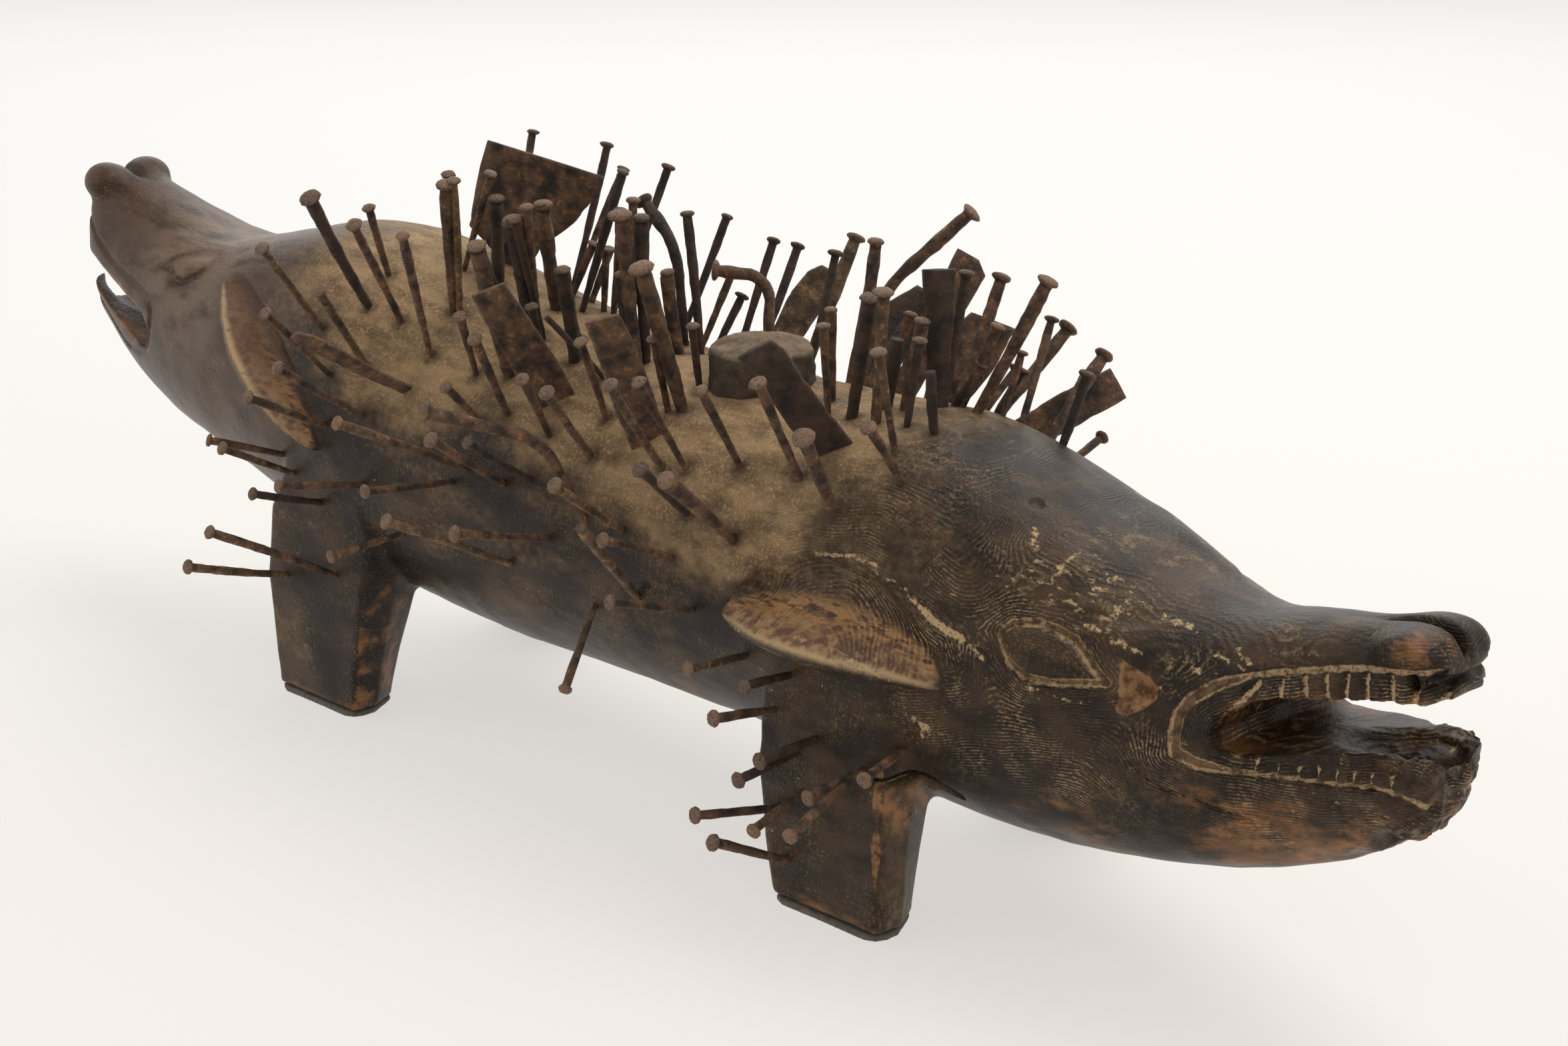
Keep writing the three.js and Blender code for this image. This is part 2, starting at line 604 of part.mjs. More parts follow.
for (const [name, shape] of Object.entries(BLADES)) {
  const base = skinPoint(alongAt(shape.along), shape.turn);
  drive(name, (grow) => blade(base, shape, grow));
}

// The medicine pack: a round drum of resin and earth with a domed top, set
// into a flat round pocket in the back.
const packPlace = vec(alongAt(PACK_ALONG), PACK_ASIDE, 0);
packPlace.z = sectionAt(packPlace.x).crest - PACK_SINK;
const packRadius = PACK_DIAMETER / 2;

function drum(profile) {
  const geometry = new THREE.LatheGeometry(profile.map(([r, z]) => new THREE.Vector2(r, z)), 24);
  geometry.rotateX(Math.PI / 2);
  geometry.translate(packPlace.x, packPlace.y, packPlace.z);
  return solid(geometry);
}
const packTop = PACK_SIDE_HEIGHT + PACK_DOME;
const pocketRadius = packRadius + CLEARANCE;
figure = figure.subtract(drum([
  [0, -CLEARANCE], [pocketRadius, -CLEARANCE], [pocketRadius, packTop + CLEARANCE],
  [0, packTop + CLEARANCE],
]));
const resin = new THREE.MeshStandardMaterial({ color: 0x4f4232, roughness: 0.9, metalness: 0 });
place('medicine_pack', geometryOf(drum([
  [0, 0], [packRadius, 0], [packRadius, PACK_SIDE_HEIGHT - 2],
  [packRadius - 2, PACK_SIDE_HEIGHT + PACK_DOME * 0.25], [packRadius * 0.55, packTop - 1],
  [0, packTop],
])), resin);

// Felt under each foot, a little proud of the wood all round.
const felt = new THREE.MeshStandardMaterial({ color: 0x77756f, roughness: 1, metalness: 0 });
for (const [end, centre] of [['near', LEG_NEAR_X], ['far', LEG_FAR_X]]) {
  for (const side of [-1, 1]) {
    const sheet = [0, FELT_THICKNESS].map((z) => footRing(z, centre, side, FELT_OVERHANG));
    const name = `felt_${end}_${side < 0 ? 'front' : 'back'}`;
    place(name, geometryOf(solid(skin(sheet))), felt);
  }
}

const wood = new THREE.MeshStandardMaterial({ color: 0x2c2420, roughness: 0.55, metalness: 0 });
place('carved_figure', geometryOf(figure), wood);

// The origin is under the middle of the whole figure, at floor height.
const bounds = new THREE.Box3().setFromObject(group);
const middleOfAll = bounds.getCenter(vec(0, 0, 0));
group.position.set(-middleOfAll.x, -middleOfAll.y, -bounds.min.z);
group.updateMatrixWorld(true);

export default group;
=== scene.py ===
import math
import bpy
import numpy as np
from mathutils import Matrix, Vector


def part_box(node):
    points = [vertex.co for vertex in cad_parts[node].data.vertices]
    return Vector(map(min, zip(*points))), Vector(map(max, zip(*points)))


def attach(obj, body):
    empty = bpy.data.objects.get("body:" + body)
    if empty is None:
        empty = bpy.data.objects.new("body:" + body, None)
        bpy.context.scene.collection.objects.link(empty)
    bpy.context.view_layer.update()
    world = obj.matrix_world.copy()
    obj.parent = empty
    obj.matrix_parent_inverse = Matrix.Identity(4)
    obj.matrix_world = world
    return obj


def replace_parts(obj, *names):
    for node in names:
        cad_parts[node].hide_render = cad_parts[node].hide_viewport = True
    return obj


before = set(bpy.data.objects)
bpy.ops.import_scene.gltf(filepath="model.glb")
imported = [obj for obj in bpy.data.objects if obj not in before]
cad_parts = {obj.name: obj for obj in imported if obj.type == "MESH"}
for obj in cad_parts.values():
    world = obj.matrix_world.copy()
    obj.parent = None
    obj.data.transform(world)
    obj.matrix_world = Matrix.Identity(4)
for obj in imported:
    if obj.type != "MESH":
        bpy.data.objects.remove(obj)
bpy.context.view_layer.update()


# The carved block: one log of dark, dense wood cut into an animal with a head
# at each end and four short legs. It is hollowed behind the ears and in the two
# mouths, rasped smooth, oiled and handled until it shines, and never painted.
LENGTH = 856.0
BARREL_DEPTH = 144.0
BARREL_WIDTH = 154.0
SIDEWAYS_BOW = 9.0
BELLY_CLEARANCE = 51.0
HALF_LENGTH = LENGTH / 2
HALF_DEPTH = BARREL_DEPTH / 2
HALF_WIDTH = BARREL_WIDTH / 2
AXIS_HEIGHT = BELLY_CLEARANCE + HALF_DEPTH
SECTION_POWER = 2.25
PACK_ALONG = 15.5
PACK_ASIDE = 6.0

# Place along, crest, keel, widest height and half width, as in the part.
PROFILE = np.array([
    [-1.000, 1.29, 0.36, 0.92, 0.17],
    [-0.986, 1.40, 0.18, 0.84, 0.29],
    [-0.958, 1.41, 0.05, 0.76, 0.36],
    [-0.907, 1.32, -0.13, 0.62, 0.43],
    [-0.837, 1.20, -0.29, 0.48, 0.53],
    [-0.780, 1.12, -0.39, 0.40, 0.61],
    [-0.720, 1.10, -0.46, 0.36, 0.68],
    [-0.670, 1.15, -0.51, 0.34, 0.74],
    [-0.600, 1.26, -0.60, 0.32, 0.81],
    [-0.520, 1.37, -0.71, 0.29, 0.88],
    [-0.440, 1.40, -0.80, 0.24, 0.94],
    [-0.370, 1.35, -0.91, 0.18, 0.98],
    [-0.280, 1.24, -1.00, 0.10, 1.00],
    [-0.140, 1.08, -1.05, 0.03, 1.00],
    [0.000, 1.00, -1.04, 0.00, 1.00],
    [0.140, 1.00, -1.03, 0.00, 1.00],
    [0.280, 1.03, -1.02, 0.00, 1.00],
    [0.385, 1.07, -1.03, -0.02, 0.99],
    [0.465, 1.02, -1.08, -0.05, 0.95],
    [0.560, 0.88, -1.11, -0.10, 0.88],
    [0.650, 0.71, -1.08, -0.14, 0.79],
    [0.720, 0.55, -1.02, -0.18, 0.70],
    [0.780, 0.50, -0.95, -0.20, 0.60],
    [0.837, 0.57, -0.85, -0.16, 0.51],
    [0.907, 0.65, -0.67, -0.06, 0.41],
    [0.958, 0.72, -0.50, 0.06, 0.36],
    [0.986, 0.70, -0.37, 0.14, 0.30],
    [1.000, 0.60, -0.20, 0.20, 0.17],
])

# The making is in millimetres about the barrel's own middle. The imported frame
# lies a little off it, and the pack on the back tells by how much.
pack_low, pack_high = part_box("medicine_pack")
OFFSET = np.array([
    (pack_low[0] + pack_high[0]) * 500 - PACK_ALONG / 100 * HALF_LENGTH,
    (pack_low[1] + pack_high[1]) * 500 - PACK_ASIDE,
    0.0,
])


def along_at(along):
    """A place along the log, from hundredths of its half length."""
    return along / 100 * HALF_LENGTH


def height_at(up):
    """A height, from hundredths of the barrel's half depth above its axis."""
    return AXIS_HEIGHT + up / 100 * HALF_DEPTH


def traced(places):
    """A line on the flank, in millimetres."""
    return [(along_at(along), height_at(up)) for along, up in places]


def profile_at(place, column):
    """A smooth curve through one column of the body's profile."""
    rows = len(PROFILE)
    i = np.clip(np.searchsorted(PROFILE[:, 0], place) - 1, 0, rows - 2)
    before = np.maximum(i - 1, 0)
    after = np.minimum(i + 2, rows - 1)
    at = PROFILE[:, 0]
    value = PROFILE[:, column]
    span = at[i + 1] - at[i]
    t = np.clip((place - at[i]) / span, 0, 1)
    slope_from = (value[i + 1] - value[before]) / (at[i + 1] - at[before]) * span
    slope_to = (value[after] - value[i]) / (at[after] - at[i]) * span
    return ((2 * t ** 3 - 3 * t ** 2 + 1) * value[i] + (t ** 3 - 2 * t ** 2 + t) * slope_from
            + (3 * t ** 2 - 2 * t ** 3) * value[i + 1] + (t ** 3 - t ** 2) * slope_to)


def section_at(x):
    """Middle, crest, keel, widest height and half width of the body at a place."""
    place = np.clip(np.asarray(x, dtype=float) / HALF_LENGTH, -1, 1)
    middle = SIDEWAYS_BOW * np.maximum(0, 1 - place ** 2)
    crest = AXIS_HEIGHT + HALF_DEPTH * profile_at(place, 1)
    keel = AXIS_HEIGHT + HALF_DEPTH * profile_at(place, 2)
    wide = AXIS_HEIGHT + HALF_DEPTH * profile_at(place, 3)
    half = HALF_WIDTH * profile_at(place, 4)
    return middle, crest, keel, wide, half


def skin_point(x, turn):
    """A point on the skin, turned from the crest towards the near flank."""
    middle, crest, keel, wide, half = (float(v) for v in section_at(x))
    c = math.cos(math.radians(turn))
    n = math.sin(math.radians(turn))
    y = middle - half * math.copysign(abs(n) ** (2 / SECTION_POWER), n)
    rise = abs(c) ** (2 / SECTION_POWER)
    z = wide + (crest - wide) * rise if c >= 0 else wide - (wide - keel) * rise
    return np.array([x, y, z])


def blend(a, b, k):
    """Two solids joined by a fillet."""
    h = np.clip(0.5 + 0.5 * (b - a) / k, 0, 1)
    return b + (a - b) * h - k * h * (1 - h)


def cut(a, b, k):
    """What is left of the first solid once the second is cut out of it."""
    return -blend(-a, b, k)


def ease(value, low, high):
    """Rises softly from 0 at the low value to 1 at the high one."""
    t = np.clip((value - low) / (high - low), 0, 1)
    return t * t * (3 - 2 * t)


def nears(x, low, high):
    """Whether any of the places along the log lies between two others."""
    return np.max(x) > low and np.min(x) < high


def line_distance(x, z, points, closed=False):
    """Distance on the flank to a line of points."""
    ends = list(zip(points, points[1:] + points[:1])) if closed else list(zip(points, points[1:]))
    nearest = None
    for (ax, az), (bx, bz) in ends:
        wx, wz = bx - ax, bz - az
        t = np.clip(((x - ax) * wx + (z - az) * wz) / (wx * wx + wz * wz), 0, 1)
        squared = (x - ax - wx * t) ** 2 + (z - az - wz * t) ** 2
        nearest = squared if nearest is None else np.minimum(nearest, squared)
    return np.sqrt(nearest)


def outline_distance(x, z, points):
    """Distance on the flank to a closed outline, negative inside."""
    inside = np.zeros(np.broadcast(x, z).shape, dtype=bool)
    for (ax, az), (bx, bz) in zip(points, points[1:] + points[:1]):
        if az == bz:
            continue
        crossing = ((az > z) != (bz > z)) & (x < (bx - ax) * (z - az) / (bz - az) + ax)
        inside ^= crossing
    return np.where(inside, -1.0, 1.0) * line_distance(x, z, points, closed=True)


GRAIN_CELLS = 32
grain_table = np.random.default_rng(11).random((GRAIN_CELLS, GRAIN_CELLS, GRAIN_CELLS))


def grain(x, y, z, size):
    """Soft random lumps of a size in millimetres, from -1 to 1."""
    places = [np.asarray(v, dtype=float) / size for v in (x, y, z)]
    whole = [np.floor(v).astype(int) for v in places]
    part = [v - w for v, w in zip(places, whole)]
    part = [t * t * (3 - 2 * t) for t in part]
    total = 0.0
    for corner in range(8):
        dx, dy, dz = corner & 1, corner >> 1 & 1, corner >> 2 & 1
        weight = ((part[0] if dx else 1 - part[0]) * (part[1] if dy else 1 - part[1])
                  * (part[2] if dz else 1 - part[2]))
        total = total + weight * grain_table[(whole[0] + dx) % GRAIN_CELLS,
                                             (whole[1] + dy) % GRAIN_CELLS,
                                             (whole[2] + dz) % GRAIN_CELLS]
    return total * 2 - 1


# The body is a rounded section drawn along the log and stopped at the noses.
def barrel(x, y, z):
    middle, crest, keel, wide, half = section_at(x)
    reach = np.where(z > wide, crest - wide, wide - keel)
    across = np.abs(y - middle) / half
    rise = np.abs(z - wide) / reach
    out = np.maximum((across ** SECTION_POWER + rise ** SECTION_POWER) ** (1 / SECTION_POWER), 1e-3)
    radius = np.maximum(np.hypot(y - middle, z - wide), 1e-3)
    body = radius * (1 - 1 / out)
    return cut(body, HALF_LENGTH - np.abs(x), 6)


# Legs: four short posts of the same log, wider at the knee, the hidden-side
# ones slimmer, and each cut flat where its foot stands on the felt.
LEG_NEAR_X = 178.0
LEG_FAR_X = -169.0
FOOT_LENGTH = 61.0
FOOT_WIDTH = 30.0
BACK_FOOT_WIDTH = 22.0
STANCE_HALF = 79.0
FOOT_SOLE = 3.3
KNEE = BELLY_CLEARANCE + 11


def leg(x, y, z, centre, head, side):
    """One short leg: a post wider at the knee, cut flat underneath."""
    inner = STANCE_HALF - (FOOT_WIDTH if side < 0 else BACK_FOOT_WIDTH)
    back = centre - FOOT_LENGTH / 2
    front = centre + FOOT_LENGTH / 2
    wider_back, wider_front = (8, 3) if head > 0 else (3, 15)
    levels = [FOOT_SOLE, 30, KNEE, KNEE + 33, AXIS_HEIGHT + 6]
    back_z = np.interp(z, levels, [back, back - wider_back / 2, back - wider_back,
                                   back - wider_back, back + 8])
    front_z = np.interp(z, levels, [front, front + wider_front * 0.4, front + wider_front * 0.8,
                                    front + wider_front, front - 8])
    outer_z = np.interp(z, levels, [STANCE_HALF, STANCE_HALF + 1, STANCE_HALF + 1,
                                    STANCE_HALF - 3, STANCE_HALF - 12])
    inner_z = np.interp(z, levels, [inner, inner - 3, inner - 10, inner - 14, inner - 14])
    middle = SIDEWAYS_BOW * np.maximum(0, 1 - ((back_z + front_z) / 2 / HALF_LENGTH) ** 2)
    out = side * (y - middle)
    depth = np.clip((outer_z - out) / (outer_z - inner_z), 0, 1)
    front_z = front_z + np.interp(depth, [0, 0.45, 1], [0, 1, -7])
    back_z = back_z + np.interp(depth, [0, 0.6, 1], [0, 1, 9])
    arris = 4.0
    dx = np.abs(x - (front_z + back_z) / 2) - (front_z - back_z) / 2 + arris
    dy = np.abs(out - (outer_z + inner_z) / 2) - (outer_z - inner_z) / 2 + arris
    post = np.hypot(np.maximum(dx, 0), np.maximum(dy, 0)) + np.minimum(np.maximum(dx, dy), 0) - arris
    return cut(cut(post, z - FOOT_SOLE, 3), AXIS_HEIGHT + 6 - z, 3)


# Ears: half-moon ledges that stand out at the lower lip and are hollowed above.
NEAR_EAR = {"tip": (27.6, -1), "front": (55.4, -10), "arch": 53}
FAR_EAR = {"tip": (-36.9, 12), "front": (-64.5, 99), "arch": 31}
EAR_DEPTH = 15.0


def ear_place(x, z, shape):
    """Share of the way from tip to front, and height above that line."""
    tip = traced([shape["tip"]])[0]
    front = traced([shape["front"]])[0]
    run = np.array([front[0] - tip[0], front[1] - tip[1]])
    chord = np.hypot(*run)
    run = run / chord
    u = ((x - tip[0]) * run[0] + (z - tip[1]) * run[1]) / chord
    v = (x - tip[0]) * -run[1] * np.sign(run[0]) + (z - tip[1]) * abs(run[0])
    return u, v


def flank_reach(x, z):
    """Middle of the body and how far its flank stands out at a height."""
    middle, crest, keel, wide, half = section_at(x)
    reach = np.where(z > wide, crest - wide, wide - keel)
    part = np.clip(np.abs(z - wide) / reach, 0, 0.999)
    return middle, half * (1 - part ** SECTION_POWER) ** (1 / SECTION_POWER)


def ear(x, y, z, shape):
    u, v = ear_place(x, z, shape)
    inside = np.clip(u, 0.01, 0.99)
    bow = np.sin(np.pi * inside) ** 0.7
    skew = np.sin(np.pi * inside ** 0.8)
    rim = shape["arch"] / 100 * HALF_DEPTH * bow + 1
    lip = EAR_DEPTH * (0.25 + 0.75 * skew) * (1 - 0.75 * inside ** 3)
    knots = [(-4 * bow - 1, lip - 2.5), (-2 * bow, lip), (0.03 * rim, lip - 0.5),
             (0.13 * rim + 0.5, lip - 5.5 * bow - 0.5), (0.3 * rim, lip - 9.5 * bow - 1),
             (0.55 * rim, lip - 12.5 * bow - 1), (0.82 * rim, 0.5 - 5 * bow),
             (0.93 * rim, 1.4 * bow), (rim + 3 * bow, -1.5)]
    proud = 0
    for spread in (-0.9, -0.3, 0.3, 0.9):
        level = knots[0][1]
        for (v0, w0), (v1, w1) in zip(knots, knots[1:]):
            level = level + (w1 - w0) * np.clip((v + spread - v0) / (v1 - v0), 0, 1)
        proud = proud + level / 4
    middle, reach = flank_reach(x, z)
    ledge = (np.abs(y - middle) - reach - proud) * 0.8
    ledge = cut(ledge, v + 4 * bow + 1, 2)
    ledge = cut(ledge, rim + 3 * bow - v, 2)
    ledge = cut(ledge, (u - 0.01) * 90, 2)
    return cut(ledge, (0.99 - u) * 90, 2)


def ear_hollow(x, z, shape):
    u, v = ear_place(x, z, shape)
    inside = np.clip(u, 0.01, 0.99)
    rim = shape["arch"] / 100 * HALF_DEPTH * np.sin(np.pi * inside) ** 0.7 + 1
    span = ease(u, 0.02, 0.16) * ease(-u, -0.97, -0.85)
    t = np.clip(v / rim, 0, 1)
    return 6.5 * span * np.sin(np.pi * t ** 1.15) ** 1.1 * ((v > 0) & (v < rim))


# Mouths, cut through from side to side. The near one is worn lower on the far
# side of the jaw, and the far one gapes wider.
NEAR_ROOF = [(80.1, -3), (80.6, 7), (82, 15), (84.6, 21), (89.3, 28), (94.6, 35), (105.1, 42)]
NEAR_FLOOR = [(105.1, 19), (101.4, 15), (93.7, 10), (86.4, -4), (82.7, -11), (80.8, -10)]
WORN_FLOOR = [(105.1, 7), (101.4, 4), (93.7, -1), (86.4, -8), (82.7, -11), (80.8, -10)]
FAR_MOUTH = [(-79.7, 35), (-80.1, 44), (-81.5, 53), (-84.1, 57), (-89.3, 65), (-94.6, 75),
             (-105.1, 93), (-105.1, 68), (-100.5, 62), (-93.7, 46), (-86.4, 32), (-82.7, 26),
             (-80.6, 28)]
NOSTRIL_LOBES = [(96.3, 56), (-97.2, 131)]
NOSTRIL_RADIUS = 10.5
NOSTRIL_SPACING = 25.0
MOUTH_HOLLOWS = [(92.8, 13, 32), (-92.8, 51, 72)]

# Lines cut into the two flanks with a knife point, place along and height.
NEAR_EYE = [(59.6, 28.6), (60.5, 34.2), (62.6, 36.4), (64.8, 34.8), (66.6, 31.6), (67.9, 25.6),
            (69.4, 18), (70.5, 13.8), (67.9, 11.4), (65.4, 8.6), (62.9, 8.6), (61.2, 13.6), (60.3, 20.8)]
FAR_EYE = [(-77.8, 91), (-76.6, 95), (-73.8, 100), (-70.4, 102), (-69.9, 95), (-71.1, 89),
           (-73, 83), (-75.2, 83)]
NEAR_LIP = [(99.1, 55), (96.5, 53), (94.1, 50), (91.2, 46), (87.7, 40), (84.6, 35), (82.7, 31),
            (79.9, 23), (78.2, 15), (77.4, 6), (77.3, -4), (77.5, -14), (79.5, -18), (82.7, -18.5),
            (85.5, -16), (88.5, -14), (92, -12), (95.8, -8), (97.5, -12), (99.3, -20)]
FAR_LIP = [(-99.1, 111), (-95, 93), (-91.3, 82), (-86.2, 74), (-82.8, 70), (-80, 65), (-78.8, 57),
           (-79.3, 43), (-81.5, 27), (-84.5, 20), (-88.8, 18), (-92, 27), (-95, 38), (-98, 47)]
TOOTH_GAPS = [(83.3, 28, 80.7, 6), (85.4, 31, 85.6, 21), (87.4, 36, 88.0, 25), (89.3, 39, 89.9, 28),
              (91.2, 42, 91.6, 31), (93.0, 45, 93.6, 33), (95.4, 48, 95.8, 36),
              (97.4, 50, 97.7, 38), (99.1, 52, 99.2, 40)]
BEAD_GAPS = [(84.6, -12), (86.6, -11), (88.5, -9.5), (90.2, -8), (91.8, -7), (93.3, -5.5),
             (94.9, -4.5), (96.6, -4)]
BEAD_LINE = [(80.5, -12), (84.3, -11), (87.1, -5), (89.2, -2), (92.2, 1), (94.4, 1), (97.3, 0)]
WEDGE_CHIP = [(70.7, 28), (72.3, 24.5), (73.9, 21.5), (75.1, 17), (75.3, 11), (74.3, 5), (72.9, 0),
              (71.8, 1), (71.9, 8), (71.6, 14), (71.3, 22)]
CHEEK_CRACK = [(73.3, -25), (75, -33), (76.6, -37), (79.3, -39), (81.9, -42), (84.4, -45)]
BROW_FOLD = [(66.5, 41), (70, 44), (72.2, 45), (73.4, 48), (74.9, 50), (75.8, 50)]
EAR_SCORE = [(43.6, 46), (47.8, 42), (50.6, 36), (52.7, 28), (55.2, 23), (57.8, 15)]
BELLY_SPLIT = [(46.5, -72), (49.5, -70), (51.5, -72), (54, -79)]


def groove(x, z, places, radius, deep, closed=False):
    """A rounded cut along a line, of a half width and depth."""
    away = line_distance(x, z, traced(places), closed)
    return deep * np.clip(1 - (away / radius) ** 2, 0, 1)


def flank_relief(x, z):
    """How far the knife goes below the rounded block, in millimetres."""
    deep = np.zeros(np.broadcast(x, z).shape)
    if nears(x, 230, HALF_LENGTH + 12):
        eye = traced(NEAR_EYE)
        deep = deep + groove(x, z, NEAR_EYE, 2.5, 2.2, closed=True)
        deep = deep - 1.5 * np.clip(-outline_distance(x, z, eye) / 9, 0, 1)
        deep = deep + groove(x, z, NEAR_LIP, 2.4, 1.9)
        for along, top, along_low, low in TOOTH_GAPS:
            gap = [(along, top), (along_low, low)]
            deep = deep + groove(x, z, gap, 2.4, 2.6)
        band = np.clip(-outline_distance(x, z, traced(NEAR_LIP)) - 1.5, 0, 1)
        deep = deep + band * 0.9 * ease(x, 335, 345)
        deep = deep + groove(x, z, BEAD_LINE, 1.5, 1.0)
        for along, up in BEAD_GAPS:
            bead = np.hypot(x - along_at(along + 0.9), z - height_at(up - 1.5))
            deep = deep - 3.2 * np.clip(1 - (bead / 3.3) ** 2, 0, 1)
        chip = outline_distance(x, z, traced(WEDGE_CHIP))
        slant = ease(z, height_at(-2), height_at(30)) * 0.5 + 0.5
        deep = deep + 7.0 * ease(-chip, -0.4, 8.0) * slant
        deep = deep + groove(x, z, CHEEK_CRACK, 1.0, 1.2)
        deep = deep + groove(x, z, BROW_FOLD, 3.0, 0.8)
        deep = deep + groove(x, z, EAR_SCORE, 1.8, 0.9)
    if nears(x, 150, 240):
        deep = deep + groove(x, z, BELLY_SPLIT, 2.2, 3.0)
    if nears(x, -HALF_LENGTH - 12, -250):
        eye = traced(FAR_EYE)
        deep = deep + groove(x, z, FAR_EYE, 2.4, 1.7, closed=True)
        deep = deep - 1.0 * np.clip(-outline_distance(x, z, eye) / 7, 0, 1)
        deep = deep + groove(x, z, FAR_LIP, 2.3, 1.5)
    return deep


def side_share(x, y):
    """How far a point is round the side, away from crest and keel."""
    middle, crest, keel, wide, half = section_at(x)
    return ease(np.abs(y - middle) / half, 0.3, 0.62)


def ball(x, y, z, centre, radii):
    out = np.sqrt(((x - centre[0]) / radii[0]) ** 2 + ((y - centre[1]) / radii[1]) ** 2
                  + ((z - centre[2]) / radii[2]) ** 2)
    return (out - 1) * min(radii)


# Places where the crown is dented or chipped: centre, radii and softness.
CHIPS = [(216, 4, 196, 26, 14, 2.4, 9), (241, -16, 187.5, 5, 4, 6, 2), (236, -10, 190, 6, 7, 3, 2)]
LEG_FILLET = 7.0
LOBE_FILLET = 4.0
HOLLOW_FILLET = 2.0
MOUTH_FILLET = 1.6
EAR_FILLET = 1.5
FAR_EAR_SHALLOWER = 0.6
LOBE_SPAN = 40
MOUTH_SPAN = 60
TONGUE_HOLLOW = (0.093 * HALF_LENGTH, 0.25 * HALF_WIDTH, 0.19 * HALF_DEPTH)
PALATE_HOLLOW = (0.08 * HALF_LENGTH, 0.22 * HALF_WIDTH, 0.1 * HALF_DEPTH)


def carving(x, y, z):
    """Signed distance to the carved wood, negative inside, in millimetres."""
    wood = barrel(x, y, z)
    for centre, head in ((LEG_NEAR_X, 1), (LEG_FAR_X, -1)):
        if not nears(x, centre - 60, centre + 70):
            continue
        for side in (-1, 1):
            wood = blend(wood, leg(x, y, z, centre, head, side), LEG_FILLET)
    if nears(x, 90, 260):
        wood = blend(wood, ear(x, y, z, NEAR_EAR), EAR_FILLET)
        wood = wood + ear_hollow(x, z, NEAR_EAR) * ease(np.abs(y), 38, 50)
    if nears(x, -300, -130):
        wood = blend(wood, ear(x, y, z, FAR_EAR), EAR_FILLET)
        wood = wood + ear_hollow(x, z, FAR_EAR) * ease(np.abs(y), 32, 44) * FAR_EAR_SHALLOWER
    for along, up in NOSTRIL_LOBES:
        lobe_x = along_at(along)
        if not nears(x, lobe_x - LOBE_SPAN, lobe_x + LOBE_SPAN):
            continue
        for side in (-1, 1):
            centre = (lobe_x, side * NOSTRIL_SPACING / 2, height_at(up))
            radii = (NOSTRIL_RADIUS * 1.4, NOSTRIL_RADIUS * 1.1, NOSTRIL_RADIUS)
            wood = blend(wood, ball(x, y, z, centre, radii), LOBE_FILLET)
        parting = ball(x, y, z, (lobe_x + 4 * np.sign(lobe_x), 0, height_at(up) + 10), (24, 3.0, 10))
        wood = cut(wood, parting, 3)
        notch = ball(x, y, z, (HALF_LENGTH * np.sign(lobe_x), 0, height_at(up) - 6), (6, 60, 2.2))
        wood = cut(wood, notch, 2)
    wood = wood + flank_relief(x, z) * side_share(x, y)
    if nears(x, 320, HALF_LENGTH + 12):
        through = (y + HALF_WIDTH) / BARREL_WIDTH
        near_edge = outline_distance(x, z, traced(NEAR_ROOF + NEAR_FLOOR))
        worn_edge = outline_distance(x, z, traced(NEAR_ROOF + WORN_FLOOR))
        wood = cut(wood, near_edge + (worn_edge - near_edge) * through, MOUTH_FILLET)
    if nears(x, -HALF_LENGTH - 12, -320):
        wood = cut(wood, outline_distance(x, z, traced(FAR_MOUTH)), MOUTH_FILLET)
    for along, tongue, palate in MOUTH_HOLLOWS:
        hollow_x = along_at(along)
        if not nears(x, hollow_x - MOUTH_SPAN, hollow_x + MOUTH_SPAN):
            continue
        for up, radii in ((tongue, TONGUE_HOLLOW), (palate, PALATE_HOLLOW)):
            hollow = ball(x, y, z, (hollow_x, 0, height_at(up)), radii)
            wood = cut(wood, hollow, HOLLOW_FILLET)
    for cx, cy, cz, rx, ry, rz, soft in CHIPS:
        if nears(x, cx - 40, cx + 40):
            wood = cut(wood, ball(x, y, z, (cx, cy, cz), (rx, ry, rz)), soft * 0.3)
    return wood


# The block is roughed out on an uneven grid, finer on the two heads. The grid
# reaches a little past the noses, the ears, the crowns and the soles.
HEAD_STEP = 1.3
BODY_STEP = 1.9
ROUND_STEP = 1.35
FAR_END = -434
FAR_NECK = -290
NEAR_NECK = 230
NEAR_END = 436


def steps(low, high, size):
    return list(np.arange(low, high, size))


grid_x = np.array(steps(FAR_END, FAR_NECK, HEAD_STEP) + steps(FAR_NECK, NEAR_NECK, BODY_STEP)
                  + steps(NEAR_NECK, NEAR_END, HEAD_STEP))
grid_y = np.arange(-92, 105, ROUND_STEP)
grid_z = np.arange(-2, 238, ROUND_STEP)


def rough_out(xs, ys, zs):
    """The carved form at every point of the grid, a slab at a time."""
    slabs = []
    for start in range(0, len(xs), 24):
        slab = xs[start:start + 24].reshape(-1, 1, 1)
        slabs.append(carving(slab, ys.reshape(1, -1, 1), zs.reshape(1, 1, -1)).astype(np.float32))
    return np.concatenate(slabs)


